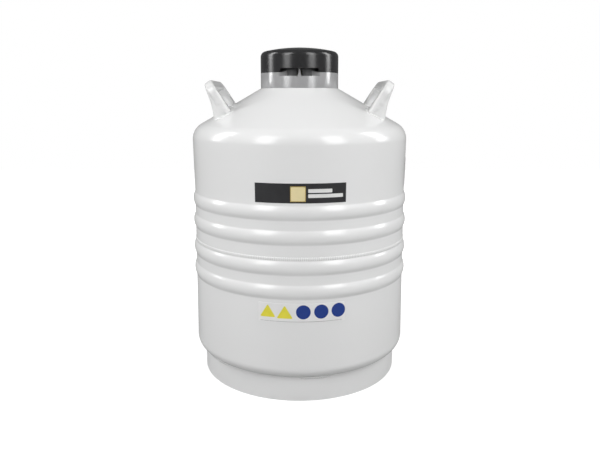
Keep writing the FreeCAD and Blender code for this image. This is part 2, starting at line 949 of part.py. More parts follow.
def lid_outline(offset):
    """The lid's outside, or that moved in by offset, from the rim to the axis."""
    crown = dim.lid_crown - offset
    corner = dim.lid_corner - offset
    across = dim.lid_radius - dim.lid_corner
    along = root((dim.lid_crown - dim.lid_corner) * (dim.lid_crown - dim.lid_corner) - across * across)
    centre = dim.lid_top - dim.lid_crown
    scale = crown / (dim.lid_crown - dim.lid_corner)
    return [
        (dim.lid_radius - offset, centre + along, corner),
        (across * scale, centre + along * scale, crown),
        (0, centre + crown),
    ]


def make_lid_shell():
    """The black moulded cover, notched over the padlock recess."""
    rim = dim.collar_top + dim.lid_gap
    outside = [(dim.lid_radius, rim)] + lid_outline(as_size(0))
    inside = turn_back(lid_outline(dim.lid_wall)) + [(dim.lid_radius - dim.lid_wall, rim)]
    lid = revolve("lid_shell", outside + inside)
    low = dim.collar_ledge
    lip = rim + dim.notch_lip
    pocket(lid, "XZ_Plane", [[
        (-dim.notch_foot_half, low),
        (dim.notch_foot_half, low),
        (dim.notch_foot_half, lip),
        (dim.notch_half, dim.notch_chamfer_height),
        (dim.notch_half, dim.notch_top),
        (-dim.notch_half, dim.notch_top),
        (-dim.notch_half, dim.notch_chamfer_height),
        (-dim.notch_foot_half, lip),
    ]], reverse=True)
    return lid


disc_top = dim.lid_disc_height + dim.lid_disc_thickness
disc_radius = dim.lid_radius - dim.lid_wall - dim.fit_gap
rod_hole = dim.plug_rod_radius + dim.fit_gap
washer_top = dim.plug_bottom - dim.fit_gap
washer_bottom = washer_top - dim.plug_washer_thickness


def make_lid_disc():
    """The plate that closes the lid from below and carries the plug."""
    return revolve("lid_disc", [
        (rod_hole, dim.lid_disc_height),
        (disc_radius, dim.lid_disc_height),
        (disc_radius, disc_top),
        (rod_hole, disc_top),
    ])


def make_lid_foam():
    """Foam between the disc and the cover, with a well for the rod's nut."""
    well = dim.plug_nut_radius + 2
    low = disc_top + dim.fit_gap
    inset = dim.lid_wall + dim.foam_gap
    roof = dim.lid_top - inset - dim.foam_well_roof
    return revolve("lid_foam", [(well, low), (dim.lid_radius - inset, low)] + lid_outline(inset) + [
        (0, roof),
        (well, roof),
    ])


def make_neck_plug():
    """The long foam plug that closes the neck, with a wide head under the lid."""
    head_low = dim.neck_tube_top + 0.5
    head_top = dim.lid_disc_height - dim.fit_gap
    return revolve("neck_plug", [
        (rod_hole, dim.plug_bottom),
        (dim.plug_radius - dim.plug_lead_in, dim.plug_bottom),
        (dim.plug_radius, dim.plug_bottom + dim.plug_lead_height),
        (dim.plug_radius, head_low),
        (dim.plug_head_radius, head_low),
        (dim.plug_head_radius, head_top),
        (rod_hole, head_top),
    ])


def make_plug_rod():
    """The glass-fibre rod through the plug."""
    low = dim.plug_bottom - dim.plug_rod_tail
    high = disc_top + dim.plug_rod_head
    return revolve("plug_rod", [
        (0, low), (dim.plug_rod_radius, low), (dim.plug_rod_radius, high), (0, high),
    ])


def make_plug_washer():
    """The washer that holds the foam up from below."""
    return revolve("plug_washer", [
        (rod_hole, washer_bottom),
        (dim.plug_washer_radius, washer_bottom),
        (dim.plug_washer_radius, washer_top),
        (rod_hole, washer_top),
    ])


def hexagon(radius):
    """The six corners of a nut."""
    angles = [math.radians(60 * number + 30) for number in range(6)]
    return [(radius * math.cos(angle), radius * math.sin(angle)) for angle in angles]


def make_plug_nuts():
    """One nut above the disc and one below the washer."""
    nuts = new_body("plug_nuts")
    length = dim.plug_nut_length
    for low in (disc_top + dim.fit_gap, washer_bottom - dim.fit_gap * 2 - length):
        sketch = new_sketch(nuts, "XY_Plane")
        draw_outline(sketch, hexagon(dim.plug_nut_radius))
        draw_circle(sketch, 0, 0, dim.plug_rod_radius + dim.fit_gap / 2)
        lift_sketch(sketch, low)
        nut = nuts.newObject("PartDesign::Pad", "nut")
        nut.Profile = sketch
        nut.setExpression("Length", length.text)
    return nuts


# ---------------------------------------------------------------- inner vessel and insulation

vessel_outer = dim.vessel_radius + dim.vessel_sheet
vessel_mouth = tube_radius + dim.glue_gap


def make_vessel_half(label, knuckle_height, mouth, sense):
    """One half of the liquid store, from the seam to its dished end."""
    outside = dished_end(
        vessel_outer, dim.vessel_crown + dim.vessel_sheet, dim.vessel_knuckle + dim.vessel_sheet,
        knuckle_height, mouth, sense,
    )
    inside = turn_back(dished_end(
        dim.vessel_radius, dim.vessel_crown, dim.vessel_knuckle, knuckle_height, mouth, sense,
    ))
    return revolve(label, (
        [(vessel_outer, dim.vessel_seam)] + outside + inside + [(dim.vessel_radius, dim.vessel_seam)]
    ))


def make_vessel_weld():
    """The bead round the inner vessel's seam."""
    skin = vessel_outer + dim.bead_seat
    return revolve("inner_vessel_weld", [
        (skin, dim.vessel_seam - dim.vessel_bead_half, dim.vessel_bead_bulge),
        (skin, dim.vessel_seam + dim.vessel_bead_half),
    ])


crown_centre = dim.vessel_high_knuckle - root(
    (dim.vessel_crown - dim.vessel_knuckle) * (dim.vessel_crown - dim.vessel_knuckle)
    - (dim.vessel_radius - dim.vessel_knuckle) * (dim.vessel_radius - dim.vessel_knuckle)
)
vessel_peak = crown_centre + dim.vessel_crown + dim.vessel_sheet


def make_neck_ring():
    """The ring on top of the inner vessel that the neck tube is bonded into."""
    low = vessel_peak + dim.fit_gap
    outer = vessel_mouth + dim.neck_ring_width
    return revolve("inner_neck_ring", [
        (vessel_mouth, low),
        (outer, low),
        (outer, low + dim.neck_ring_height),
        (vessel_mouth, low + dim.neck_ring_height),
    ])


def make_blanket():
    """Many layers of foil and spacer paper wound round the inner vessel, as one solid."""
    near = dim.vessel_sheet + dim.blanket_gap
    far = near + dim.blanket_thickness

    def offset_end(offset, knuckle_height, mouth, sense):
        return dished_end(
            dim.vessel_radius + offset, dim.vessel_crown + offset, dim.vessel_knuckle + offset,
            knuckle_height, mouth, sense,
        )

    outside = turn_back(offset_end(far, dim.vessel_low_knuckle, 0, -1))
    outside += offset_end(far, dim.vessel_high_knuckle, dim.blanket_mouth, 1)
    inside = turn_back(offset_end(near, dim.vessel_high_knuckle, dim.blanket_mouth, 1))
    inside += offset_end(near, dim.vessel_low_knuckle, 0, -1)
    return revolve("insulation_blanket", outside + inside)


def make_adsorbent_tray():
    """An open ring-shaped dish on the cold vessel, round the neck tube."""
    low = dim.tray_bottom
    high = low + dim.tray_height
    gauge = dim.tray_sheet
    return revolve("adsorbent_tray", [
        (dim.tray_inner, low),
        (dim.tray_outer, low),
        (dim.tray_outer, high),
        (dim.tray_outer - gauge, high),
        (dim.tray_outer - gauge, low + gauge),
        (dim.tray_inner + gauge, low + gauge),
        (dim.tray_inner + gauge, high),
        (dim.tray_inner, high),
    ])


def make_adsorbent():
    """The molecular sieve that keeps the vacuum hard."""
    gauge = dim.tray_sheet + dim.fit_gap
    level = dim.tray_bottom + dim.tray_height - dim.tray_freeboard
    return revolve("adsorbent_charge", [
        (dim.tray_inner + gauge, dim.tray_bottom + gauge),
        (dim.tray_outer - gauge, dim.tray_bottom + gauge),
        (dim.tray_outer - gauge, level),
        (dim.tray_inner + gauge, level),
    ])


def make_getter():
    """A small getter capsule lying in the warm bottom of the vacuum space."""
    getter = doc.addObject("Part::Cylinder", "getter_capsule")
    getter.Label = "getter_capsule"
    getter.setExpression("Radius", dim.getter_radius.text)
    getter.setExpression("Height", dim.getter_length.text)
    floor = dim.bottom_height - dim.bottom_bulge + dim.shell_sheet
    height = floor + dim.getter_radius + dim.getter_lift
    getter.Placement = FreeCAD.Placement(
        FreeCAD.Vector(dim.getter_reach.value, dim.getter_length.value / 2, height.value),
        FreeCAD.Rotation(FreeCAD.Vector(1, 0, 0), 90),
    )
    return getter


# ---------------------------------------------------------------- vacuum port

plug_seat = dim.port_rise + dim.fit_gap
ring_middles = (as_size(0), dim.port_ring_pitch)


def make_port_tube():
    """The evacuation tube through the shoulder, with its flange."""
    boss = dim.port_tube_radius + dim.port_boss_step
    return revolve("vacuum_port_tube", [
        (dim.port_bore, -dim.port_depth),
        (dim.port_tube_radius, -dim.port_depth),
        (dim.port_tube_radius, dim.port_seat),
        (dim.port_flange_radius, dim.port_seat),
        (dim.port_flange_radius, dim.port_flange_height),
        (boss, dim.port_flange_height),
        (boss, dim.port_rise),
        (dim.port_bore, dim.port_rise),
    ])


def make_port_plug():
    """The seal plug, which also lifts to relieve the vacuum space, with two ring grooves."""
    radius = dim.port_plug_radius
    half_groove = dim.port_ring_radius
    bottom = radius - half_groove * 2
    chamfer = dim.port_plug_chamfer
    tail = -dim.port_plug_tail
    corners = [(0, tail), (radius - chamfer, tail), (radius, tail + chamfer)]
    for middle in ring_middles:
        corners += [
            (radius, middle - half_groove),
            (bottom, middle - half_groove),
            (bottom, middle + half_groove),
            (radius, middle + half_groove),
        ]
    corners += [
        (radius, plug_seat),
        (dim.port_plug_head, plug_seat),
        (dim.port_plug_head, plug_seat + dim.port_plug_lip),
        (0, plug_seat + dim.port_plug_lip),
    ]
    return revolve("vacuum_plug", corners)


def make_port_rings():
    """Two rubber rings in the plug's grooves."""
    rings = new_body("vacuum_plug_rings")
    reach = dim.port_plug_radius - dim.port_ring_radius
    for middle in ring_middles:
        sketch = new_sketch(rings)
        draw_circle(sketch, reach, middle, dim.port_ring_radius - dim.port_ring_slack)
        turned = rings.newObject("PartDesign::Revolution", "ring")
        turned.Profile = sketch
        turned.ReferenceAxis = (sketch, ["V_Axis"])
    return rings


def make_port_cap():
    """The moulded cap pushed over the port to keep knocks and dirt off the plug."""
    wall = dim.cap_wall
    inner = dim.cap_radius - wall
    ceiling = dim.cap_top - wall
    corner = dim.cap_corner
    inner_corner = corner - wall
    return revolve("vacuum_cap", [
        (inner, dim.cap_foot),
        (dim.cap_radius, dim.cap_foot),
        (dim.cap_radius, dim.cap_top - corner, corner),
        (dim.cap_radius - corner, dim.cap_top),
        (0, dim.cap_top),
        (0, ceiling),
        (inner - inner_corner, ceiling, -inner_corner),
        (inner, ceiling - inner_corner),
    ])


# ---------------------------------------------------------------- labels


def make_label(label, low, high, radius_low, radius_high, half_angle, centre_angle):
    """A thin printed label wrapped on the shell. centre_angle is counted from +X, in degrees."""
    near_low = radius_low + dim.label_gap
    near_high = radius_high + dim.label_gap
    body = revolve(label, [
        (near_low, low),
        (near_low + dim.label_sheet, low),
        (near_high + dim.label_sheet, high),
        (near_high, high),
    ], half_angle)
    body.Placement = FreeCAD.Placement(
        FreeCAD.Vector(0, 0, 0), FreeCAD.Rotation(FreeCAD.Vector(0, 0, 1), centre_angle)
    )
    return body


def wall_radius_at(height):
    """The upper wall's radius where it tapers out to the shoulder."""
    start = dim.taper_start + sheet_gauge
    slope = (dim.shoulder_radius - dim.wall_radius) / (corner_height - start)
    return dim.wall_radius + (height - start) * slope


def make_labels():
    return [
        make_label("front_label", dim.front_label_low, dim.front_label_high,
                   wall_radius_at(dim.front_label_low), wall_radius_at(dim.front_label_high),
                   dim.front_label_half_angle, dim.front_label_turn.value),
        make_label("safety_label", dim.safety_label_low, dim.safety_label_high,
                   dim.wall_radius, dim.wall_radius,
                   dim.safety_label_half_angle, dim.safety_label_turn.value),
        make_label("side_label", dim.side_label_low, dim.side_label_high,
                   wall_radius_at(dim.side_label_low), wall_radius_at(dim.side_label_high),
                   dim.side_label_half_angle, dim.side_label_turn.value),
    ]


# ---------------------------------------------------------------- assembly

vessel_form = shoulder_cone("vessel_form", None, as_size(0))
handle_right = make_handle(vessel_form)
handle_weld_right = make_handle_weld(handle_right)
port_pieces = [make_port_tube(), make_port_plug(), make_port_rings(), make_port_cap()]
for piece in port_pieces:
    stand_on_slope(piece, dim.port_reach, dim.shoulder_slope)

pieces = [
    make_outer_shell_upper(),
    make_outer_shell_lower(),
    make_girth_weld(),
    make_foot_ring(),
    make_foot_welds(),
    handle_right,
    opposite_copy("handle_left", handle_right),
    handle_weld_right,
    opposite_copy("handle_weld_left", handle_weld_right),
    make_neck_hub(),
    make_neck_tube(),
    make_collar(),
    make_collar_liner(),
    make_lock_lug(),
    make_collar_screws(),
    make_lid_shell(),
    make_lid_disc(),
    make_lid_foam(),
    make_neck_plug(),
    make_plug_rod(),
    make_plug_washer(),
    make_plug_nuts(),
    make_vessel_half("inner_vessel_upper", dim.vessel_high_knuckle, vessel_mouth, 1),
    make_vessel_half("inner_vessel_lower", dim.vessel_low_knuckle, 0, -1),
    make_vessel_weld(),
    make_neck_ring(),
    make_blanket(),
    make_adsorbent_tray(),
    make_adsorbent(),
    make_getter(),
] + port_pieces + make_labels()

doc.recompute()

# ---------------------------------------------------------------- checks and files

failed = [item.Label for item in doc.Objects if "Invalid" in item.State or "Error" in item.State]
if failed:
    raise RuntimeError(f"could not be computed: {failed}")

os.makedirs("parts", exist_ok=True)
for piece in pieces:
    shape = piece.Shape
    if shape.isNull() or not shape.isValid() or not shape.Solids:
        raise RuntimeError(f"{piece.Label} has no valid solid")
    shape.exportStep(f"parts/{piece.Label}.step")
    box = shape.BoundBox
    print(f"{piece.Label}: {len(shape.Solids)} solid, {shape.Volume / 1000:.2f} cm3, "
          f"z {box.ZMin:.1f} to {box.ZMax:.1f}, x {box.XMin:.1f} to {box.XMax:.1f}, "
          f"y {box.YMin:.1f} to {box.YMax:.1f}")
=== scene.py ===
import math

import bpy
import numpy as np
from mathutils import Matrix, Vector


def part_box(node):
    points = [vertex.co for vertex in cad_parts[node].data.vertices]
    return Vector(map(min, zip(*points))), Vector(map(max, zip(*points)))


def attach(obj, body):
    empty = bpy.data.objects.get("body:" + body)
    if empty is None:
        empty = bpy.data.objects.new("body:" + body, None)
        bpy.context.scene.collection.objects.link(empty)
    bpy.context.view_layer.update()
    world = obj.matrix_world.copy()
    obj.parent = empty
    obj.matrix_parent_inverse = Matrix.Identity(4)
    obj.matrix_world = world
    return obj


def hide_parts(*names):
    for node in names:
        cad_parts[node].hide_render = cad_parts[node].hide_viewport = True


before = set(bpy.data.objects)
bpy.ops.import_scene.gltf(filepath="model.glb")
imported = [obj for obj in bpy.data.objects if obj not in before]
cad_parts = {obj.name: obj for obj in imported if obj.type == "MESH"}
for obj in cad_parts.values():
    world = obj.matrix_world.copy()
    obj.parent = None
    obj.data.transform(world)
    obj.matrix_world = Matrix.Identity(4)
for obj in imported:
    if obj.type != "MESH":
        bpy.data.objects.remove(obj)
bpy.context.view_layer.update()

scene = bpy.context.scene

# ---------------------------------------------------------------- camera
# The camera stands just over a metre in front of the vessel's axis and half a metre up, and
# looks slightly down. A small shift brings the vessel to the middle of the frame.

SENSOR_WIDTH = 36.0
LENS_LENGTH = 36.15
SHIFT_ACROSS = 0.000833
SHIFT_UP = -0.073
NEAREST_SEEN = 0.05
EYE_DISTANCE = 1.1234
EYE_HEIGHT = 0.5027
LOOK_DOWN = math.radians(8.0)

camera_data = bpy.data.cameras.new("catalogue_camera")
camera_data.sensor_width = SENSOR_WIDTH
camera_data.lens = LENS_LENGTH
camera_data.shift_x = SHIFT_ACROSS
camera_data.shift_y = SHIFT_UP
camera_data.clip_start = NEAREST_SEEN
camera = bpy.data.objects.new("catalogue_camera", camera_data)
camera.location = (0.0, -EYE_DISTANCE, EYE_HEIGHT)
camera.rotation_euler = (math.pi / 2 - LOOK_DOWN, 0.0, 0.0)
scene.collection.objects.link(camera)
scene.camera = camera

# ---------------------------------------------------------------- studio
# A white floor that burns out to pure white away from the vessel, two broad soft boxes in front,
# a strip at each side, one dim box overhead and two behind that light the rear.

scene.view_settings.view_transform = "Standard"

FLOOR_REACH = 3.0
FLOOR_GLOW_NEAR = 0.80
FLOOR_GLOW_FAR = 1.05
GLOW_START = 0.20
GLOW_FULL = 0.55
FLOOR_GREY = 0.30
FLOOR_ROUGHNESS = 0.9
ROOM_FRONT = 0.13
ROOM_BACK = 0.14
ROOM_BLEND = 0.6
MIDDLE = (0.0, 0.0, 0.35)

floor_mesh = bpy.data.meshes.new("floor")
floor_mesh.from_pydata(
    [(-FLOOR_REACH, -FLOOR_REACH, 0), (FLOOR_REACH, -FLOOR_REACH, 0),
     (FLOOR_REACH, FLOOR_REACH, 0), (-FLOOR_REACH, FLOOR_REACH, 0)], [], [(0, 1, 2, 3)])
floor = bpy.data.objects.new("floor", floor_mesh)
scene.collection.objects.link(floor)

floor_material = bpy.data.materials.new("floor_white")
floor_material.use_nodes = True
nodes, links = floor_material.node_tree.nodes, floor_material.node_tree.links
floor_shader = nodes["Principled BSDF"]
floor_shader.inputs["Base Color"].default_value = (FLOOR_GREY, FLOOR_GREY, FLOOR_GREY, 1)
floor_shader.inputs["Roughness"].default_value = FLOOR_ROUGHNESS
floor_coords = nodes.new("ShaderNodeTexCoord")
from_axis = nodes.new("ShaderNodeVectorMath")
from_axis.operation = "LENGTH"
glow_range = nodes.new("ShaderNodeMapRange")
glow_range.interpolation_type = "SMOOTHSTEP"
glow_range.inputs["From Min"].default_value = GLOW_START
glow_range.inputs["From Max"].default_value = GLOW_FULL
glow_range.inputs["To Min"].default_value = FLOOR_GLOW_NEAR
glow_range.inputs["To Max"].default_value = FLOOR_GLOW_FAR
glow = nodes.new("ShaderNodeEmission")
seen_glow = nodes.new("ShaderNodeMixShader")
both = nodes.new("ShaderNodeAddShader")
ray = nodes.new("ShaderNodeLightPath")
unlit = nodes.new("ShaderNodeEmission")
unlit.inputs["Strength"].default_value = 0.0
links.new(floor_coords.outputs["Object"], from_axis.inputs[0])
links.new(from_axis.outputs["Value"], glow_range.inputs["Value"])
links.new(glow_range.outputs["Result"], glow.inputs["Strength"])
links.new(ray.outputs["Is Camera Ray"], seen_glow.inputs[0])
links.new(unlit.outputs[0], seen_glow.inputs[1])
links.new(glow.outputs[0], seen_glow.inputs[2])
links.new(floor_shader.outputs[0], both.inputs[0])
links.new(seen_glow.outputs[0], both.inputs[1])
links.new(both.outputs[0], nodes["Material Output"].inputs["Surface"])
floor_mesh.materials.append(floor_material)


def soft_box(name, azimuth, height, distance, size, radiance):
    """An area light at an azimuth counted from the front (-Y) towards +X, facing the vessel's
    middle. Its power is radiance times pi times its area."""
    data = bpy.data.lights.new(name, "AREA")
    data.shape = "RECTANGLE"
    data.size, data.size_y = size
    data.energy = radiance * math.pi * size[0] * size[1]
    light = bpy.data.objects.new(name, data)
    turn = math.radians(azimuth)
    light.location = (distance * math.sin(turn), -distance * math.cos(turn), height)
    direction = np.array(MIDDLE) - np.array(light.location)
    flat = math.hypot(direction[0], direction[1])
    light.rotation_euler = (
        math.atan2(flat, -direction[2]), 0.0, math.atan2(direction[1], direction[0]) - math.pi / 2
    )
    scene.collection.objects.link(light)
    return light


for name, azimuth in (("front_left_box", -36), ("front_right_box", 36)):
    soft_box(name, azimuth, height=1.40, distance=2.0, size=(0.75, 1.7), radiance=6.1)
for name, azimuth in (("left_strip", -92), ("right_strip", 92)):
    soft_box(name, azimuth, height=1.25, distance=1.8, size=(0.45, 1.45), radiance=8.5)
soft_box("overhead_box", 0, height=2.6, distance=0.3, size=(2.2, 2.2), radiance=0.06)
for name, azimuth in (("rear_left_box", -152), ("rear_right_box", 152)):
    rear = soft_box(name, azimuth, height=1.30, distance=2.2, size=(0.9, 1.6), radiance=2.2)
    rear.visible_glossy = False

world = bpy.data.worlds.new("studio")
world.use_nodes = True
nodes, links = world.node_tree.nodes, world.node_tree.links
room = nodes["Background"]
room_way = nodes.new("ShaderNodeTexCoord")
axes = nodes.new("ShaderNodeSeparateXYZ")
depth = nodes.new("ShaderNodeMapRange")
depth.inputs["From Min"].default_value = -ROOM_BLEND
depth.inputs["From Max"].default_value = ROOM_BLEND
depth.inputs["To Min"].default_value = ROOM_FRONT
depth.inputs["To Max"].default_value = ROOM_BACK
seen = nodes.new("ShaderNodeBackground")
ray = nodes.new("ShaderNodeLightPath")
choose = nodes.new("ShaderNodeMixShader")
links.new(room_way.outputs["Generated"], axes.inputs[0])
links.new(axes.outputs["Y"], depth.inputs["Value"])
links.new(depth.outputs["Result"], room.inputs["Strength"])
room.inputs["Color"].default_value = (1, 1, 1, 1)
seen.inputs["Color"].default_value = (1, 1, 1, 1)
links.new(ray.outputs["Is Camera Ray"], choose.inputs[0])
links.new(room.outputs[0], choose.inputs[1])
links.new(seen.outputs[0], choose.inputs[2])
links.new(choose.outputs[0], nodes["World Output"].inputs["Surface"])
scene.world = world

# ---------------------------------------------------------------- outer shell
# Two halves spun from 2 mm aluminium sheet and welded together at the girth, with two pressed
# ribs each. They are powder coated light grey: a satin gloss with a very fine orange peel.

# From here on the pieces' sizes are in millimetres, and MM turns them into metres. The bumps'
# depths are in metres.
MM = 0.001
WALL_RADIUS = 193.7
SHEET = 2.0
GIRTH_HEIGHT = 246.4
RIB_HEIGHTS = (191.4, 231.2, 280.4, 320.3)
RIB_WIDTH = 23.0
RIB_RISE = 3.25
RIB_BLEND = 0.6
TAPER_START = 334.0
SHOULDER_RADIUS = 195.9
SHOULDER_CORNER = 31.4
SHOULDER_SLOPE = 30.1
CONE_TOP_RADIUS = 71.0
CONE_TOP_HEIGHT = 517.2
NECK_FLAT_RADIUS = 60.0
MOUTH_RADIUS = 36.0
BOTTOM_HEIGHT = 42.0
BOTTOM_CORNER = 19.5
BOTTOM_BULGE = 26.0
POLE_ANGLE = -89.5
ROUND_STEPS = 320
MASK_SPREAD = (0.1, 0.9)
SHELL_GREY = (0.790, 0.792, 0.792)
SHELL_SHADE = (0.775, 0.777, 0.775)

slope = math.radians(SHOULDER_SLOPE)
fall = math.tan(slope)


def cone_height(radius):
    """Height of the shoulder's cone: its top's height less the run outwards times the slope."""
    return CONE_TOP_HEIGHT - (radius - CONE_TOP_RADIUS) * fall


def straight(start, finish, steps):
    """Points shared out evenly on the line from one end to the other."""
    share = np.linspace(0.0, 1.0, steps)[:, None]
    return (1 - share) * np.array(start) + share * np.array(finish)


def arc(centre, radius, start, finish, steps):
    """Points at centre + radius (cos a, sin a), for a from start to finish in degrees."""
    angle = np.radians(np.linspace(start, finish, steps))
    return np.array(centre) + radius * np.column_stack([np.cos(angle), np.sin(angle)])


def ribbed(profile):
    """Lifts a wall by its ribs: a rib is a circular hump h, and the wall moves out by
    half of h plus the root of h squared and a small blend squared, which rounds the rib's feet."""
    bulge = (RIB_WIDTH ** 2 / 4 + RIB_RISE ** 2) / (2 * RIB_RISE)
    lifted = profile.copy()
    for middle in RIB_HEIGHTS:
        off = np.clip(np.abs(profile[:, 1] - middle), 0, bulge)
        hump = np.sqrt(bulge ** 2 - off ** 2) - (bulge - RIB_RISE)
        near = off < RIB_WIDTH
        lift = (hump + np.sqrt(hump ** 2 + RIB_BLEND ** 2)) / 2
        lifted[:, 0] += np.where(near, lift, 0)
    return lifted


def turned(profile, steps=ROUND_STEPS):
    """A profile of (radius, height) carried round Z: (r cos a, r sin a, h) at every step a."""
    angle = np.linspace(0, 2 * np.pi, steps, endpoint=False)
    radius, height = profile[:, :1] * MM, profile[:, 1:] * MM
    across = np.ones_like(angle)
    return np.stack([radius * np.cos(angle), radius * np.sin(angle), height * across], axis=-1)


def net(grid, round_rows=False, start=None, end=None):
    """Points and faces of a grid: four neighbours make a face, every row closes on itself, the
    last row may join the first, and a start or end point closes the first or last row with a fan.
    Every face is turned round if the form's volume, from its corners' triple products, is below 0."""
    rows, columns = grid.shape[:2]
    number = np.arange(rows * columns).reshape(rows, columns)
    if round_rows:
        number = np.vstack([number, number[:1]])
    number = np.hstack([number, number[:, :1]])
    faces = np.stack(
        [number[:-1, :-1], number[:-1, 1:], number[1:, 1:], number[1:, :-1]], axis=-1
    ).reshape(-1, 4).tolist()
    points = grid.reshape(-1, 3)
    for tip, ring in ((start, number[0]), (end, number[-1][::-1])):
        if tip is not None:
            centre = np.full(len(ring) - 1, len(points))
            faces += np.column_stack([centre, ring[1:], ring[:-1]]).tolist()
            points = np.vstack([points, tip])
    corner = points[np.array([face if len(face) == 4 else face + face[2:] for face in faces])]
    first, second, third, fourth = np.moveaxis(corner, 1, 0)
    volume = (first * (np.cross(second, third) + np.cross(third, fourth))).sum()
    return points, faces if volume > 0 else [face[::-1] for face in faces]


def piece(name, nets, material, body="vessel", stands_for=(), sharp=35):
    """One object from several nets, smooth up to the sharp angle, riding on its body."""
    points, faces = [], []
    for some_points, some_faces in nets:
        first = sum(len(group) for group in points)
        faces += [[first + corner for corner in face] for face in some_faces]
        points.append(some_points)
    mesh = bpy.data.meshes.new(name)
    mesh.from_pydata(np.vstack(points).tolist(), [], faces)
    mesh.polygons.foreach_set("use_smooth", np.ones(len(mesh.polygons), dtype=bool))
    mesh.set_sharp_from_angle(angle=math.radians(sharp))
    mesh.materials.append(material)
    thing = bpy.data.objects.new(name, mesh)
    scene.collection.objects.link(thing)
    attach(thing, body)
    if stands_for:
        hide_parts(*stands_for)
    return thing


def dress(material, *names):
    """Gives CAD nodes their finish."""
    for name in names:
        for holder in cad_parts[name].material_slots:
            holder.material = material


def new_effect(name, inputs, outputs):
    """An empty node group with float inputs (name: value) and float outputs."""
    group = bpy.data.node_groups.new(name, "ShaderNodeTree")
    for label, value in inputs.items():
        socket = group.interface.new_socket(label, in_out="INPUT", socket_type="NodeSocketFloat")
        socket.default_value = value
    for label in outputs:
        group.interface.new_socket(label, in_out="OUTPUT", socket_type="NodeSocketFloat")
    return group, group.nodes.new("NodeGroupInput"), group.nodes.new("NodeGroupOutput")


# Grain is the fine surface texture and Drift the slow change over a hand's width.
skin_effect, given, made = new_effect(
    "skin_texture", {"Grain per metre": 700.0, "Drift per metre": 6.0}, ("Grain", "Drift"))
coords = skin_effect.nodes.new("ShaderNodeTexCoord")
for label, size, detail in (("Grain", "Grain per metre", 2.0), ("Drift", "Drift per metre", 3.0)):
    noise = skin_effect.nodes.new("ShaderNodeTexNoise")
    noise.inputs["Detail"].default_value = detail
    skin_effect.links.new(coords.outputs["Object"], noise.inputs["Vector"])
    skin_effect.links.new(given.outputs[size], noise.inputs["Scale"])
    skin_effect.links.new(noise.outputs["Fac"], made.inputs[label])


def finish_with(name, effect, sizes, colour, shade, rough, depth, mask="Drift", height="Grain",
                metal=0.0):
    """A finish whose colour runs from colour to shade, and its roughness between two values,
    with the effect's mask; the effect's height, depth metres deep, bumps the surface."""
    material = bpy.data.materials.new(name)
    material.use_nodes = True
    nodes, links = material.node_tree.nodes, material.node_tree.links
    shader = nodes["Principled BSDF"]
    shader.inputs["Metallic"].default_value = metal
    source = nodes.new("ShaderNodeGroup")
    source.node_tree = effect
    for label, value in sizes.items():
        source.inputs[label].default_value = value
    ramp = nodes.new("ShaderNodeValToRGB")
    ramp.color_ramp.elements[0].position, ramp.color_ramp.elements[1].position = MASK_SPREAD
    ramp.color_ramp.interpolation = "EASE"
    ramp.color_ramp.elements[0].color = (*colour, 1)
    ramp.color_ramp.elements[1].color = (*shade, 1)
    links.new(source.outputs[mask], ramp.inputs["Fac"])
    links.new(ramp.outputs["Color"], shader.inputs["Base Color"])
    polish = nodes.new("ShaderNodeMapRange")
    polish.inputs["From Min"].default_value, polish.inputs["From Max"].default_value = MASK_SPREAD
    polish.inputs["To Min"].default_value, polish.inputs["To Max"].default_value = rough
    links.new(source.outputs[mask], polish.inputs["Value"])
    links.new(polish.outputs["Result"], shader.inputs["Roughness"])
    bump = nodes.new("ShaderNodeBump")
    bump.inputs["Strength"].default_value = 1.0
    bump.inputs["Distance"].default_value = depth
    links.new(source.outputs[height], bump.inputs["Height"])
    links.new(bump.outputs["Normal"], shader.inputs["Normal"])
    return material


shell_paint = finish_with(
    "shell_powder_coat", skin_effect, {"Grain per metre": 420.0, "Drift per metre": 5.0},
    SHELL_GREY, SHELL_SHADE, (0.17, 0.21), 0.00005)

corner_centre = SHOULDER_RADIUS - SHOULDER_CORNER
cone_end = corner_centre + SHOULDER_CORNER * math.sin(slope)
corner_height = cone_height(cone_end) - SHOULDER_CORNER * math.cos(slope)
flat_height = cone_height(NECK_FLAT_RADIUS)
inner_flat = NECK_FLAT_RADIUS - SHEET * math.tan(slope / 2)
inner_corner = SHOULDER_CORNER - SHEET
# The inner side goes back down along every third point of the outer one.
upper_wall = straight((WALL_RADIUS, GIRTH_HEIGHT), (WALL_RADIUS, TAPER_START), 150)
upper_profile = np.vstack([
    ribbed(upper_wall),
    straight((WALL_RADIUS, TAPER_START), (SHOULDER_RADIUS, corner_height), 12)[1:],
    arc((corner_centre, corner_height), SHOULDER_CORNER, 0, 90 - SHOULDER_SLOPE, 28)[1:],
    straight((cone_end, cone_height(cone_end)), (NECK_FLAT_RADIUS, flat_height), 24)[1:],
    straight((NECK_FLAT_RADIUS, flat_height), (MOUTH_RADIUS, flat_height), 4)[1:],
    straight((MOUTH_RADIUS, flat_height - SHEET), (inner_flat, flat_height - SHEET), 4),
    arc((corner_centre, corner_height), inner_corner, 90 - SHOULDER_SLOPE, 0, 14),
    ribbed(upper_wall[::-3]) - (SHEET, 0),
])
piece(
    "upper_shell", [net(turned(upper_profile), round_rows=True)], shell_paint,
    stands_for=("outer_shell_upper",))

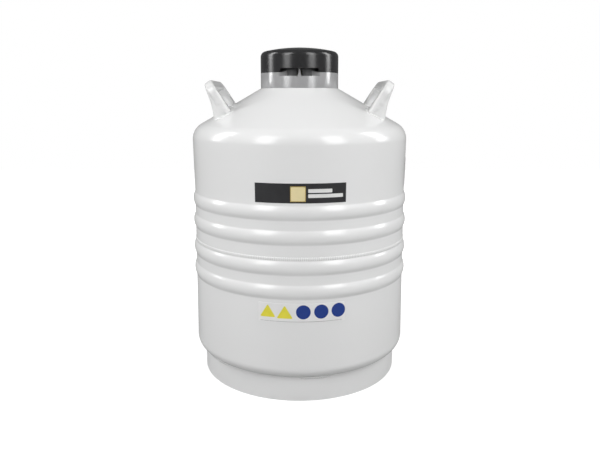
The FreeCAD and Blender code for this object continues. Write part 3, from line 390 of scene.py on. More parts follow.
dome_edge = WALL_RADIUS - BOTTOM_CORNER
dome = (dome_edge ** 2 + BOTTOM_BULGE ** 2) / (2 * BOTTOM_BULGE)
dome_centre = BOTTOM_HEIGHT - BOTTOM_BULGE + dome
dome_reach = math.degrees(math.asin(dome_edge / dome))
rise = BOTTOM_HEIGHT + BOTTOM_CORNER
lower_wall = straight((WALL_RADIUS, rise), (WALL_RADIUS, GIRTH_HEIGHT), 240)
lower_profile = np.vstack([
    arc((0, dome_centre), dome, POLE_ANGLE, -90 + dome_reach, 20),
    arc((dome_edge, rise), BOTTOM_CORNER, -90, 0, 18)[1:],
    ribbed(lower_wall)[1:],
    ribbed(lower_wall[::-3]) - (SHEET, 0),
    arc((dome_edge, rise), BOTTOM_CORNER - SHEET, 0, -90, 10)[1:],
    arc((0, dome_centre), dome - SHEET, -90 + dome_reach, POLE_ANGLE, 12)[1:],
])
piece(
    "lower_shell",
    [net(turned(lower_profile), start=(0, 0, (dome_centre - dome) * MM),
         end=(0, 0, (dome_centre - dome + SHEET) * MM))],
    shell_paint, stands_for=("outer_shell_lower",))

# ---------------------------------------------------------------- welds on the vessel
# The two halves meet at a girth weld, and six stitches hold the foot ring: TIG beads laid in
# small overlapping pools, left as welded and coated over with the shell.

GIRTH_WIDTH = 5.0
GIRTH_RISE = 0.55
GIRTH_STEPS = 2400
POOL_STEP = 3.0
POOL_RIPPLE = 0.48
BEAD_SIDES = 14
BEAD_SHARP = 80
END_SQUARENESS = 8
END_LEAST = 0.004
STITCH_COUNT = 6
STITCH_ANGLE = 17.0
STITCH_FIRST = -90.0
STITCH_RADIUS = 179.9
STITCH_HEIGHT = 41.2
STITCH_SIZE = 1.9
STITCH_STEPS = 160


def bead(path, out, width, rise, ripple=POOL_RIPPLE, closed=True):
    """A weld bead along a path (mm): an ellipse, width across and rise high along out, whose
    size swells by the ripple in every pool. An open bead tapers to nothing at both ends."""
    if closed:
        ahead = np.roll(path, -1, axis=0) - np.roll(path, 1, axis=0)
        length = np.linalg.norm(ahead, axis=1) / 2
    else:
        ahead = np.gradient(path, axis=0)
        length = np.linalg.norm(ahead, axis=1)
    ahead /= np.linalg.norm(ahead, axis=1)[:, None]
    run = np.cumsum(length)
    pools = max(1, round(run[-1] / POOL_STEP))
    swell = 1 + ripple * (np.abs(np.sin(np.pi * pools * run / run[-1])) - 0.5)
    if not closed:
        share = np.linspace(-1, 1, len(path))
        swell *= np.sqrt(np.clip(1 - np.abs(share) ** END_SQUARENESS, END_LEAST, 1))
    side = np.cross(ahead, out)
    side /= np.linalg.norm(side, axis=1)[:, None]
    angle = np.linspace(0, 2 * np.pi, BEAD_SIDES, endpoint=False)[None, :, None]
    size = swell[:, None, None]
    grid = path[:, None] + size * (
        width / 2 * np.cos(angle) * side[:, None] + rise * np.sin(angle) * out[:, None])
    grid *= MM
    if closed:
        return net(grid, round_rows=True)
    return net(grid, start=path[0] * MM, end=path[-1] * MM)


def circle(radius, height, start, finish, steps, closed):
    """Points of a level circle between two angles, with the directions pointing out of it."""
    angle = np.radians(np.linspace(start, finish, steps, endpoint=not closed))
    out = np.column_stack([np.cos(angle), np.sin(angle), np.zeros(steps)])
    return radius * out + (0, 0, height), out


girth_path, girth_out = circle(WALL_RADIUS, GIRTH_HEIGHT, 0, 360, GIRTH_STEPS, True)
piece("girth_bead", [bead(girth_path, girth_out, GIRTH_WIDTH, GIRTH_RISE)],
      shell_paint, stands_for=("girth_weld",), sharp=BEAD_SHARP)

stitches = []
for number in range(STITCH_COUNT):
    first = STITCH_FIRST + number * 360 / STITCH_COUNT
    stitch_path, stitch_out = circle(
        STITCH_RADIUS, STITCH_HEIGHT, first, first + STITCH_ANGLE, STITCH_STEPS, False)
    stitches.append(bead(stitch_path, stitch_out, 2 * STITCH_SIZE, STITCH_SIZE, closed=False))
piece("foot_stitches", stitches, shell_paint, stands_for=("foot_welds",),
      sharp=BEAD_SHARP)

# ---------------------------------------------------------------- foot ring
# A rolled 3 mm strip under the body that keeps the domed bottom off the floor. It is coated with
# the shell and rubbed a little duller where it is slid about.

foot_paint = finish_with(
    "foot_powder_coat", skin_effect, {"Grain per metre": 420.0, "Drift per metre": 9.0},
    SHELL_GREY, SHELL_SHADE, (0.30, 0.40), 0.00006)
dress(foot_paint, "foot_ring")

# ---------------------------------------------------------------- handles
# Two cast aluminium loops with a gusset on each leg, welded to the shoulder and coated in nearly
# the same grey. Casting leaves the skin a little uneven under the coat.

HANDLE_GREY = (0.765, 0.767, 0.765)
HANDLE_SHADE = (0.735, 0.737, 0.733)
HANDLE_ROOT = 120.4
HANDLE_LEVEL = 481.0
HANDLE_LEAN = math.radians(33.0)
LEG_INNER = 57.0
LEG_OUTER = 82.5
LEG_DEPTH = 30.0
LEG_CORNER = 8.0
LEG_BEAD_WIDTH = 7.0
LEG_BEAD_RISE = 2.2
LEG_BEAD_RIPPLE = 0.14
LEG_BEAD_MARGIN = 1.0
LEG_BEAD_STEPS = 360

TOP = 61.5
GRIP = 16.0
OUTER_TURN = 24.0
GAP_TURN = 12.0
GRIP_HALF = 81.0
GAP_HALF = 66.0
LEG_END = -18.0
BAND_TOP = 14.0
BAND_FOOT = 6.3
FLARE_START = 0.17
FLARE_GROWTH = 0.0011
GUSSET_INSET = 2.4
GUSSET_BLEND = 2.5
BEND_DROP = 10.0
ROUNDNESS = 4.2
RING_SIDES = 72
FOOT_SUNK = 1.0
HOLE_OUT = 12.5
HOLE_ALONG = 9.5
HOLE_START = LEG_INNER - 2.0
HOLE_END = LEG_INNER + 10.0
HOLE_RADIUS = 1.6
HOLE_SIDES = 48
SOLVER_ROUNDS = 8

handle_paint = finish_with(
    "handle_powder_coat", skin_effect, {"Grain per metre": 160.0, "Drift per metre": 14.0},
    HANDLE_GREY, HANDLE_SHADE, (0.22, 0.28), 0.00010)


def handle_place(out, across, along, side):
    """From the handle's leaning frame to the vessel's: along runs up the lean, out is square
    to it, and side is 1 on the right and -1 on the left, which turns both level directions."""
    lean, drop = math.sin(HANDLE_LEAN), math.cos(HANDLE_LEAN)
    return np.stack([
        side * (HANDLE_ROOT + out * drop + along * lean), side * across,
        HANDLE_LEVEL - out * lean + along * drop], axis=-1)


def down_to_cone(out, across, sunk=0.0):
    """How far along the lean the shoulder's cone lies below a point of the handle's frame, by
    Newton's method: the point slides until its height is the cone's height at its radius."""
    lean, drop = math.sin(HANDLE_LEAN), math.cos(HANDLE_LEAN)
    along = np.zeros_like(out)
    for _ in range(SOLVER_ROUNDS):
        spot = handle_place(out, across, along, 1)
        radius = np.hypot(spot[..., 0], spot[..., 1])
        miss = spot[..., 2] - cone_height(radius) + sunk / math.cos(slope)
        along = along - miss / (drop + fall * lean * spot[..., 0] / radius)
    return along


def handle_grid(side):
    """The handle as rings carried along a leg, a corner, the grip, a corner and a leg. A ring is
    a superellipse between the outer outline and the gap's; its depth grows towards the foot by
    a line plus a square, and past the band it steps in by the gusset's inset. Near the feet
    the rings are stretched until the last ones lie just under the cone."""
    outer = np.vstack([
        straight((LEG_OUTER, LEG_END), (GRIP_HALF, TOP - OUTER_TURN), 60),
        arc((GRIP_HALF - OUTER_TURN, TOP - OUTER_TURN), OUTER_TURN, 0, 90, 28)[1:],
        straight((GRIP_HALF - OUTER_TURN, TOP), (0, TOP), 24)[1:],
    ])
    gap = np.vstack([
        straight((LEG_INNER, LEG_END), (GAP_HALF, TOP - GRIP - GAP_TURN), 60),
        arc((GAP_HALF - GAP_TURN, TOP - GRIP - GAP_TURN), GAP_TURN, 0, 90, 28)[1:],
        straight((GAP_HALF - GAP_TURN, TOP - GRIP), (0, TOP - GRIP), 24)[1:],
    ])
    outer = np.vstack([outer, outer[-2::-1] * (-1, 1)])[:, None]
    gap = np.vstack([gap, gap[-2::-1] * (-1, 1)])[:, None]
    angle = np.linspace(0, 2 * np.pi, RING_SIDES, endpoint=False)
    wide = np.sign(np.cos(angle)) * np.abs(np.cos(angle)) ** (2 / ROUNDNESS)
    deep = np.sign(np.sin(angle)) * np.abs(np.sin(angle)) ** (2 / ROUNDNESS)
    level = ((outer + gap) / 2)[..., 1]
    below = TOP - level
    depth = BAND_TOP + FLARE_START * below + FLARE_GROWTH * below ** 2
    out = depth * (1 + deep) / 2
    band = BAND_TOP - (BAND_TOP - BAND_FOOT) * (below / (TOP - LEG_END)) ** 2
    step = np.clip((out - band) / GUSSET_BLEND, 0, 1)
    inset = GUSSET_INSET * step ** 2 * (3 - 2 * step)
    width = np.linalg.norm(outer - gap, axis=2)
    flat = (outer + gap) / 2 + (wide * (1 - 2 * inset / width) / 2)[..., None] * (outer - gap)
    across, along = flat[..., 0], flat[..., 1]
    bend = TOP - OUTER_TURN - BEND_DROP
    share = np.clip((bend - along) / (bend - LEG_END), 0, None)
    foot = down_to_cone(out, across, FOOT_SUNK)
    along = np.where(share > 0, bend - share * (bend - foot), along)
    return handle_place(out, across, along, side) * MM


def drill(thing, start, finish, radius):
    """Bores a round hole between two points (metres) with an exact boolean, then applies it. The
    hole's ring is laid out on two directions square to the bore, made with cross products."""
    start, finish = np.array(start), np.array(finish)
    along = (finish - start) / np.linalg.norm(finish - start)
    side = np.cross(along, (0.3, 0.5, 0.8))
    side /= np.linalg.norm(side)
    angle = np.linspace(0, 2 * np.pi, HOLE_SIDES, endpoint=False)[:, None]
    ring = radius * (np.cos(angle) * side + np.sin(angle) * np.cross(along, side))
    grid = np.stack([start + ring, finish + ring])
    points, faces = net(grid, start=start, end=finish)
    mesh = bpy.data.meshes.new("drill")
    mesh.from_pydata(points.tolist(), [], faces)
    bit = bpy.data.objects.new("drill", mesh)
    scene.collection.objects.link(bit)
    bore = thing.modifiers.new("bore", "BOOLEAN")
    bore.operation = "DIFFERENCE"
    bore.object = bit
    bore.solver = "EXACT"
    finished = bpy.data.meshes.new_from_object(
        thing.evaluated_get(bpy.context.evaluated_depsgraph_get()))
    thing.modifiers.clear()
    thing.data = finished
    bpy.data.objects.remove(bit)


def evenly(outline, steps):
    """A closed outline with its points shared out again at equal distances along it."""
    outline = np.vstack([outline, outline[:1]])
    run = np.concatenate([[0], np.cumsum(np.linalg.norm(np.diff(outline, axis=0), axis=1))])
    even = np.linspace(0, run[-1], steps, endpoint=False)
    return np.column_stack([np.interp(even, run, outline[:, axis]) for axis in (0, 1)])


def rounded_box(x_low, x_high, y_low, y_high, corner, steps):
    """A closed outline of four quarter circles joined by straight sides."""
    turns = []
    for x, y, start in ((x_high - corner, y_high - corner, 0), (x_low + corner, y_high - corner, 90),
                        (x_low + corner, y_low + corner, 180), (x_high - corner, y_low + corner, 270)):
        turns.append(arc((x, y), corner, start, start + 90, 24))
    return evenly(np.vstack(turns), steps)


def leg_beads(side):
    """The weld bead round the foot of each leg of one handle, lying on the cone."""
    beads = []
    for mirror in (1, -1):
        outline = rounded_box(
            -LEG_BEAD_MARGIN, LEG_DEPTH, LEG_INNER - LEG_BEAD_MARGIN, LEG_OUTER + LEG_BEAD_MARGIN,
            LEG_CORNER, LEG_BEAD_STEPS)
        out, across = outline[:, 0], mirror * outline[:, 1]
        path = handle_place(out, across, down_to_cone(out, across), side)
        radius = np.hypot(path[:, 0], path[:, 1])
        normal = np.column_stack([
            math.sin(slope) * path[:, 0] / radius, math.sin(slope) * path[:, 1] / radius,
            np.full(len(path), math.cos(slope))])
        beads.append(bead(path, normal, LEG_BEAD_WIDTH, LEG_BEAD_RISE, ripple=LEG_BEAD_RIPPLE))
    return beads


for name, side in (("right", 1), ("left", -1)):
    handle_rings = handle_grid(side)
    handle = piece(
        f"handle_casting_{name}",
        [net(handle_rings, start=handle_rings[0].mean(axis=0), end=handle_rings[-1].mean(axis=0))],
        handle_paint, stands_for=(f"handle_{name}",), sharp=50)
    for mirror in (1, -1):
        mouth, bottom = (
            handle_place(HOLE_OUT, mirror * across, HOLE_ALONG, side) * MM
            for across in (HOLE_START, HOLE_END))
        drill(handle, mouth, bottom, HOLE_RADIUS * MM)
    piece(f"handle_bead_{name}", leg_beads(side), handle_paint,
          stands_for=(f"handle_weld_{name}",), sharp=BEAD_SHARP)

# ---------------------------------------------------------------- neck hub and neck tube
# The hub is turned from aluminium and glued round the neck tube, a wound glass-fibre tube that
# carries the inner vessel and lets little heat down.

BARE_METAL = (0.62, 0.63, 0.65)
BARE_SHADE = (0.52, 0.53, 0.55)
FIBRE_GREEN = (0.42, 0.46, 0.27)
FIBRE_PALE = (0.58, 0.60, 0.42)

# Cut is the tool's fine turning marks, which ring the axis, and Cloud its dull patches.
turned_effect, given, made = new_effect(
    "turning_marks", {"Cuts per metre": 900.0, "Cloud per metre": 25.0}, ("Cut", "Cloud"))
tree, link = turned_effect.nodes, turned_effect.links
coords = tree.new("ShaderNodeTexCoord")
apart = tree.new("ShaderNodeSeparateXYZ")
flat_way = tree.new("ShaderNodeCombineXYZ")
away = tree.new("ShaderNodeVectorMath")
away.operation = "LENGTH"
both_ways = tree.new("ShaderNodeMath")
both_ways.operation = "ADD"
spread_out = tree.new("ShaderNodeMath")
spread_out.operation = "MULTIPLY"
cut = tree.new("ShaderNodeTexNoise")
cut.noise_dimensions = "1D"
cut.inputs["Scale"].default_value = 1.0
cut.inputs["Detail"].default_value = 2.0
cloud = tree.new("ShaderNodeTexNoise")
link.new(coords.outputs["Object"], apart.inputs[0])
link.new(apart.outputs["X"], flat_way.inputs["X"])
link.new(apart.outputs["Y"], flat_way.inputs["Y"])
link.new(flat_way.outputs[0], away.inputs[0])
link.new(away.outputs["Value"], both_ways.inputs[0])
link.new(apart.outputs["Z"], both_ways.inputs[1])
link.new(both_ways.outputs[0], spread_out.inputs[0])
link.new(given.outputs["Cuts per metre"], spread_out.inputs[1])
link.new(spread_out.outputs[0], cut.inputs["W"])
link.new(coords.outputs["Object"], cloud.inputs["Vector"])
link.new(given.outputs["Cloud per metre"], cloud.inputs["Scale"])
link.new(cut.outputs["Fac"], made.inputs["Cut"])
link.new(cloud.outputs["Fac"], made.inputs["Cloud"])

hub_metal = finish_with(
    "turned_aluminium", turned_effect, {"Cuts per metre": 2500.0, "Cloud per metre": 30.0},
    BARE_METAL, BARE_SHADE, (0.22, 0.38), 0.00004, mask="Cloud", height="Cut", metal=1.0)
dress(hub_metal, "neck_hub")

neck_fibre = finish_with(
    "wound_glass_fibre", turned_effect, {"Cuts per metre": 700.0, "Cloud per metre": 90.0},
    FIBRE_GREEN, FIBRE_PALE, (0.30, 0.45), 0.00010, mask="Cut", height="Cut")
dress(neck_fibre, "neck_tube", "plug_rod", "plug_washer")

# ---------------------------------------------------------------- neck collar and liner
# A moulded collar with a metallic grey finish sits on the shoulder, recessed in front for a
# padlock's lug. A dark liner inside it seats the lid, and screws hold both to the hub.

COLLAR_GREY = (0.46, 0.46, 0.465)
COLLAR_SHADE = (0.43, 0.43, 0.435)
LINER_DARK = (0.060, 0.062, 0.064)
LINER_WORN = (0.085, 0.087, 0.088)
SCREW_STEEL = (0.52, 0.52, 0.53)
SCREW_SHADE = (0.40, 0.40, 0.41)

collar_finish = finish_with(
    "collar_metallic_moulding", skin_effect, {"Grain per metre": 1600.0, "Drift per metre": 22.0},
    COLLAR_GREY, COLLAR_SHADE, (0.15, 0.18), 0.00003, metal=0.3)
dress(collar_finish, "neck_collar", "lock_lug")
liner_finish = finish_with(
    "liner_moulding", skin_effect, {"Grain per metre": 1300.0, "Drift per metre": 30.0},
    LINER_DARK, LINER_WORN, (0.38, 0.52), 0.00005)
dress(liner_finish, "collar_liner")
screw_metal = finish_with(
    "stainless_steel", turned_effect, {"Cuts per metre": 3500.0, "Cloud per metre": 160.0},
    SCREW_STEEL, SCREW_SHADE, (0.24, 0.40), 0.00003, mask="Cloud", height="Cut", metal=1.0)
dress(screw_metal, "collar_screws", "plug_nuts")

# ---------------------------------------------------------------- lid
# A black moulded cap with a fine satin grain. A white disc closes it below and holds a slab of
# cream foam inside, and the neck plug hangs from the disc.

LID_BLACK = (0.020, 0.020, 0.021)
LID_RUBBED = (0.027, 0.027, 0.028)
DISC_WHITE = (0.78, 0.775, 0.75)
DISC_SHADE = (0.72, 0.71, 0.67)
FOAM_CREAM = (0.80, 0.70, 0.44)
FOAM_TAN = (0.66, 0.55, 0.31)

lid_finish = finish_with(
    "lid_satin_moulding", skin_effect, {"Grain per metre": 1500.0, "Drift per metre": 25.0},
    LID_BLACK, LID_RUBBED, (0.17, 0.21), 0.00006)
dress(lid_finish, "lid_shell")
disc_finish = finish_with(
    "disc_sheet_plastic", skin_effect, {"Grain per metre": 900.0, "Drift per metre": 18.0},
    DISC_WHITE, DISC_SHADE, (0.34, 0.50), 0.00004)
dress(disc_finish, "lid_disc")

# Cell is the walls between a foam's round cells, Speckle the cells that are darker or deeper.
foam_effect, given, made = new_effect("foam_cells", {"Cells per metre": 900.0}, ("Cell", "Speckle"))
coords = foam_effect.nodes.new("ShaderNodeTexCoord")
for feature, label, output in (("SMOOTH_F1", "Cell", "Distance"), ("F1", "Speckle", "Color")):
    cells = foam_effect.nodes.new("ShaderNodeTexVoronoi")
    cells.feature = feature
    foam_effect.links.new(coords.outputs["Object"], cells.inputs["Vector"])
    foam_effect.links.new(given.outputs["Cells per metre"], cells.inputs["Scale"])
    foam_effect.links.new(cells.outputs[output], made.inputs[label])

lid_foam_finish = finish_with(
    "rigid_cream_foam", foam_effect, {"Cells per metre": 1100.0}, FOAM_CREAM, FOAM_TAN,
    (0.80, 0.95), 0.00025, mask="Speckle", height="Cell")
dress(lid_foam_finish, "lid_foam")

# ---------------------------------------------------------------- neck plug
# A long plug of white closed-cell foam fills most of the neck and vents round its side. A
# glass-fibre rod with nuts and a washer clamps it to the lid.

PLUG_WHITE = (0.84, 0.84, 0.82)
PLUG_SHADE = (0.74, 0.745, 0.74)

plug_foam = finish_with(
    "closed_cell_foam", foam_effect, {"Cells per metre": 650.0}, PLUG_WHITE, PLUG_SHADE,
    (0.72, 0.88), 0.00030, mask="Speckle", height="Cell")
dress(plug_foam, "neck_plug")

# ---------------------------------------------------------------- inner vessel
# The part that holds the liquid is spun from bare aluminium in two halves, welded round the
# middle and to a ring on the neck tube, so it shows spinning marks and two rippled beads.

SEAM_STEPS = 1500
inner_metal = finish_with(
    "spun_aluminium", turned_effect, {"Cuts per metre": 420.0, "Cloud per metre": 9.0},
    BARE_METAL, BARE_SHADE, (0.26, 0.42), 0.00008, mask="Cloud", height="Cut", metal=1.0)
weld_metal = finish_with(
    "welded_aluminium", skin_effect, {"Grain per metre": 900.0, "Drift per metre": 120.0},
    BARE_METAL, BARE_SHADE, (0.35, 0.55), 0.00008, metal=1.0)
dress(inner_metal, "inner_vessel_upper", "inner_vessel_lower")
dress(weld_metal, "inner_neck_ring")

seam_low, seam_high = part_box("inner_vessel_weld")
skin_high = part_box("inner_vessel_upper")[1][0] / MM
seam_level = (seam_low[2] + seam_high[2]) / 2 / MM
seam_path, seam_out = circle(skin_high, seam_level, 0, 360, SEAM_STEPS, True)
piece("inner_seam",
      [bead(seam_path, seam_out, (seam_high[2] - seam_low[2]) / MM,
            seam_high[0] / MM - skin_high)],
      weld_metal, stands_for=("inner_vessel_weld",), sharp=BEAD_SHARP)

# ---------------------------------------------------------------- insulation blanket
# Many turns of crinkled reflective foil and spacer paper are wound round the inner vessel, so
# the outside is creased in long crossing folds.

FOIL_BRIGHT = (0.86, 0.87, 0.88)
FOIL_GREY = (0.66, 0.67, 0.69)

# Crease is the sharp folds between flat facets, Sheet the slower swell of the layers below.
foil_effect, given, made = new_effect(
    "foil_creases", {"Creases per metre": 60.0, "Swell per metre": 14.0}, ("Crease", "Sheet"))
tree, link = foil_effect.nodes, foil_effect.links
coords = tree.new("ShaderNodeTexCoord")
swell = tree.new("ShaderNodeTexNoise")
swell.inputs["Distortion"].default_value = 1.5
folds = tree.new("ShaderNodeTexVoronoi")
folds.feature = "DISTANCE_TO_EDGE"
added = tree.new("ShaderNodeMath")
added.operation = "MULTIPLY_ADD"
added.inputs[1].default_value = 2.0
link.new(coords.outputs["Object"], swell.inputs["Vector"])
link.new(coords.outputs["Object"], folds.inputs["Vector"])
link.new(given.outputs["Swell per metre"], swell.inputs["Scale"])
link.new(given.outputs["Creases per metre"], folds.inputs["Scale"])
link.new(swell.outputs["Fac"], added.inputs[0])
link.new(folds.outputs["Distance"], added.inputs[2])
link.new(added.outputs[0], made.inputs["Crease"])
link.new(swell.outputs["Fac"], made.inputs["Sheet"])

foil_finish = finish_with(
    "crinkled_foil", foil_effect, {"Creases per metre": 70.0, "Swell per metre": 16.0},
    FOIL_BRIGHT, FOIL_GREY, (0.16, 0.34), 0.0020, mask="Sheet", height="Crease", metal=1.0)
dress(foil_finish, "insulation_blanket")

# ---------------------------------------------------------------- adsorbent tray and getter
# A ring of beige molecular sieve beads lies in a bare tray round the cold neck and holds the
# vacuum. A small getter capsule lies in the bottom of the vacuum space.

BEAD_BEIGE = (0.66, 0.54, 0.38)
BEAD_BROWN = (0.52, 0.41, 0.27)

sieve_finish = finish_with(
    "sieve_beads", foam_effect, {"Cells per metre": 420.0}, BEAD_BEIGE, BEAD_BROWN,
    (0.75, 0.92), 0.0014, mask="Speckle", height="Cell")
tray_metal = finish_with(
    "pressed_aluminium", turned_effect, {"Cuts per metre": 600.0, "Cloud per metre": 40.0},
    BARE_METAL, BARE_SHADE, (0.30, 0.46), 0.00005, mask="Cloud", height="Cut", metal=1.0)
dress(sieve_finish, "adsorbent_charge")
dress(tray_metal, "adsorbent_tray", "getter_capsule")

SIEVE_RADIUS = 1.5
SIEVE_PITCH = 3.05
SIEVE_SIDES = 7
ROW_SHARE = 0.94
TURN_JITTER = 0.12
LEVEL_JITTER = 0.5
LAYER_SUNK = 0.5
TUBE_GAP = 12.5
RIM_GAP = 1.8
beads_random = np.random.default_rng(7)
charge_low, charge_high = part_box("adsorbent_charge")
charge_outer = charge_high[0] / MM - RIM_GAP
charge_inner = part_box("neck_tube")[1][0] / MM + TUBE_GAP + RIM_GAP


def sieve_bead():
    """A small round bead: four rings of a sphere between two poles."""
    turn = np.radians(np.linspace(-54, 54, 4))
    rings = turned(np.column_stack([np.cos(turn), np.sin(turn)]), SIEVE_SIDES) / MM
    return net(rings, start=(0, 0, -1), end=(0, 0, 1))


def scattered(shape, places, radius):
    """Copies of a shape, each moved to its place, as one set of points and faces."""
    points, faces = shape
    size = len(points)
    copies = (places[:, None] + radius * points[None]).reshape(-1, 3) * MM
    return copies, [[size * copy + corner for corner in face]
                    for copy in range(len(places)) for face in faces]


bead_places = []
for ring in np.arange(charge_inner, charge_outer, SIEVE_PITCH * ROW_SHARE):
    count = int(2 * np.pi * ring / SIEVE_PITCH)
    shuffle = beads_random.uniform(-TURN_JITTER, TURN_JITTER, count)
    angle = (np.arange(count) + shuffle) * 2 * np.pi / count
    shuffle = beads_random.uniform(-LEVEL_JITTER, LEVEL_JITTER, count)
    height = charge_high[2] / MM - LAYER_SUNK + shuffle
    bead_places.append(np.column_stack([ring * np.cos(angle), ring * np.sin(angle), height]))
piece("sieve_bead_layer", [scattered(sieve_bead(), np.vstack(bead_places), SIEVE_RADIUS)],
      sieve_finish, sharp=BEAD_SHARP)

# ---------------------------------------------------------------- vacuum port
# On the shoulder's rear an aluminium boss takes the seal plug with its two rubber rings, under a
# pull-off black cap. The vessel is pumped out here, and the plug lifts if pressure builds up.

RUBBER_BLACK = (0.014, 0.014, 0.014)
RUBBER_GREY = (0.024, 0.024, 0.024)

ring_finish = finish_with(
    "seal_rubber", skin_effect, {"Grain per metre": 2200.0, "Drift per metre": 200.0},
    RUBBER_BLACK, RUBBER_GREY, (0.45, 0.62), 0.00002)
cap_finish = finish_with(
    "cap_satin_moulding", skin_effect, {"Grain per metre": 1500.0, "Drift per metre": 60.0},
    LID_BLACK, LID_RUBBED, (0.30, 0.42), 0.00004)
dress(hub_metal, "vacuum_port_tube", "vacuum_plug")
dress(ring_finish, "vacuum_plug_rings")
dress(cap_finish, "vacuum_cap")

# ---------------------------------------------------------------- labels
# Three vinyl labels are stuck on the upper and lower wall. Each carries plain printed shapes:
# a gold framed square and bars on black, and triangles, discs and a line on white.

FILM_BLACK = (0.020, 0.020, 0.022)
FILM_BLACK_SHADE = (0.026, 0.026, 0.028)
FILM_WHITE = (0.80, 0.80, 0.80)
FILM_WHITE_SHADE = (0.765, 0.765, 0.765)
INK_WHITE = (0.80, 0.80, 0.79)
INK_GOLD = (0.55, 0.40, 0.12)
INK_PALE_GOLD = (0.80, 0.70, 0.40)
INK_YELLOW = (0.80, 0.72, 0.06)
INK_BLUE = (0.010, 0.042, 0.250)
INK_GREY = (0.46, 0.46, 0.46)
INK_THICK = 0.06
FILM_OUT = 0.40
SHAPE_RINGS = (0.12, 0.25, 0.4, 0.55, 0.7, 0.85, 1.0)
DISC_POINTS = 60
TRIANGLE_CORNER = 1.3
TRIANGLE_INSET = 1.8 * TRIANGLE_CORNER
TRIANGLE_POINTS = 90


def wall_radius(height):
    """Radius of the wall at a height: straight, then growing evenly up to the shoulder."""
    share = np.clip((height - TAPER_START) / (corner_height - TAPER_START), 0, 1)
    return WALL_RADIUS + share * (SHOULDER_RADIUS - WALL_RADIUS)


def print_shape(outline, azimuth):
    """A flat printed shape wrapped on the wall. The outline (arc length, height) is shrunk to its
    middle in rings, and each point goes to its angle, arc length over radius. The shape's back, one
    more ring and a point, lies inside the film."""
    middle = outline.mean(axis=0)
    share = np.array(SHAPE_RINGS + SHAPE_RINGS[-1:])[:, None, None]
    flat = middle + share * (outline - middle)
    lift = np.full((len(share), 1), FILM_OUT + INK_THICK)
    lift[-1] = FILM_OUT - INK_THICK

    def wrapped(spot, out):
        radius = wall_radius(spot[..., 1]) + out
        angle = azimuth + spot[..., 0] / WALL_RADIUS
        return np.stack([radius * np.cos(angle), radius * np.sin(angle), spot[..., 1]], -1) * MM

    return net(wrapped(flat, lift), start=wrapped(middle, FILM_OUT + INK_THICK),
               end=wrapped(middle, FILM_OUT - INK_THICK))


def disc(across, height, radius):
    """The outline of a printed disc."""
    return arc((across, height), radius, 0, 360 - 360 / DISC_POINTS, DISC_POINTS)


def triangle(across, base, top, half):
    """The outline of an upright triangle with rounded corners: three arcs of 120 degrees."""
    corner = TRIANGLE_CORNER
    reach = half - TRIANGLE_INSET
    return evenly(np.vstack([
        arc((across + reach, base + corner), corner, -90, 30, 9),
        arc((across, top - 2 * corner), corner, 30, 150, 9),
        arc((across - reach, base + corner), corner, 150, 270, 9),
    ]), TRIANGLE_POINTS)


def ink(name, colour, dark):
    """A printed colour on vinyl film: glossy, with faint specks from the screen print."""
    return finish_with(
        name, skin_effect, {"Grain per metre": 1800.0, "Drift per metre": 90.0},
        colour, dark, (0.28, 0.38), 0.00001)


def darker(colour, share=0.9):
    """A colour with each of its three parts times the share."""
    return tuple(share * part for part in colour)


black_film = ink("black_vinyl", FILM_BLACK, FILM_BLACK_SHADE)
white_film = ink("white_vinyl", FILM_WHITE, FILM_WHITE_SHADE)
white_ink = ink("white_ink", INK_WHITE, darker(INK_WHITE))
gold_ink = ink("gold_ink", INK_GOLD, darker(INK_GOLD))
pale_gold_ink = ink("pale_gold_ink", INK_PALE_GOLD, darker(INK_PALE_GOLD))
yellow_ink = ink("yellow_ink", INK_YELLOW, darker(INK_YELLOW))
blue_ink = ink("blue_ink", INK_BLUE, darker(INK_BLUE))
grey_ink = ink("grey_ink", INK_GREY, darker(INK_GREY))
dress(black_film, "front_label", "side_label")
dress(white_film, "safety_label")

FRONT = math.radians(-90.0)
SIDE = math.radians(8.0)
BAND_MIDDLE = 350.9
EMBLEM_ACROSS = -2.4
EMBLEM_HEIGHT = BAND_MIDDLE + 0.6
EMBLEM_HALF = 11.1
FRAME_HALF = 12.2
FRAME_THICK = 1.0
FRAME_CORNER = 0.3
OUTLINE_POINTS = 80
BAR_POINTS = 160


def bar(left, right, middle, thick, corner, points=BAR_POINTS):
    """The outline of a level bar with rounded corners, from left to right round its middle height."""
    return rounded_box(left, right, middle - thick / 2, middle + thick / 2, corner, points)


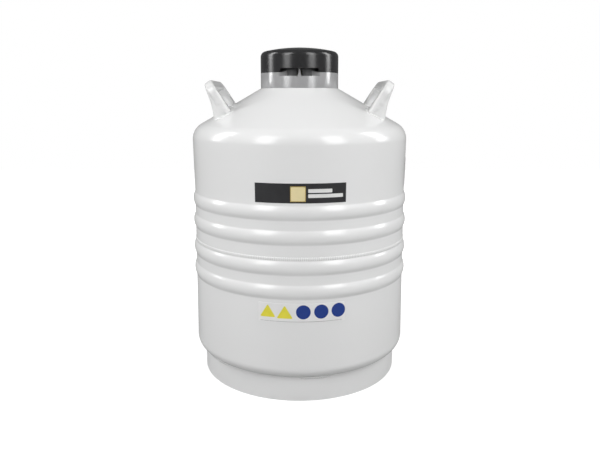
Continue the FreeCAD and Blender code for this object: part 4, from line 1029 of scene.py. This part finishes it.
def frame_bars(across, height, half, thick):
    """Four bars round a square, long above and below and short at the sides."""
    reach = half - thick / 2
    return [
        bar(across - half, across + half, height + reach, thick, FRAME_CORNER, OUTLINE_POINTS),
        bar(across - half, across + half, height - reach, thick, FRAME_CORNER, OUTLINE_POINTS),
        bar(across - half, across - half + thick, height, 2 * half - 2 * thick, FRAME_CORNER,
            OUTLINE_POINTS),
        bar(across + half - thick, across + half, height, 2 * half - 2 * thick, FRAME_CORNER,
            OUTLINE_POINTS),
    ]


emblem = [bar(EMBLEM_ACROSS - EMBLEM_HALF, EMBLEM_ACROSS + EMBLEM_HALF, EMBLEM_HEIGHT,
              2 * EMBLEM_HALF, 0.6, OUTLINE_POINTS)]
emblem_frame = frame_bars(EMBLEM_ACROSS, EMBLEM_HEIGHT, FRAME_HALF, FRAME_THICK)
front_bars = [
    bar(13.5, 52.0, middle=BAND_MIDDLE + 5.6, thick=6.0, corner=0.8, points=120),
    bar(13.5, 70.0, middle=BAND_MIDDLE - 2.4, thick=6.0, corner=0.8),
]
side_bars = [bar(-50.0, 30.0, middle=376.5, thick=11.0, corner=1.0)]
for right, middle in ((50.0, 362.1), (50.0, 356.1), (18.0, 350.1)):
    side_bars.append(bar(-50.0, right, middle, thick=2.2, corner=0.6))
for name, outlines, paint, azimuth, slot in (
    ("front_emblem", emblem, pale_gold_ink, FRONT, "label_white"),
    ("front_emblem_frame", emblem_frame, gold_ink, FRONT, "label_white"),
    ("front_bars", front_bars, white_ink, FRONT, "label_white"),
    ("side_bars", side_bars, white_ink, SIDE, "label_white"),
    ("yellow_triangles",
     [triangle(-52.0, 149.6, 171.0, 13.2), triangle(-24.0, 148.2, 170.2, 13.4)],
     yellow_ink, FRONT, "label_white"),
    ("blue_discs", [disc(6.2, 159.2, 11.8), disc(35.4, 159.4, 11.8), disc(64.2, 159.8, 11.8)],
     blue_ink, FRONT, "label_white"),
    ("safety_line", [bar(-65.0, 71.0, middle=143.0, thick=0.8, corner=0.3, points=260)],
     grey_ink, FRONT, "label_white"),
):
    piece(name, [print_shape(outline, azimuth) for outline in outlines], paint)
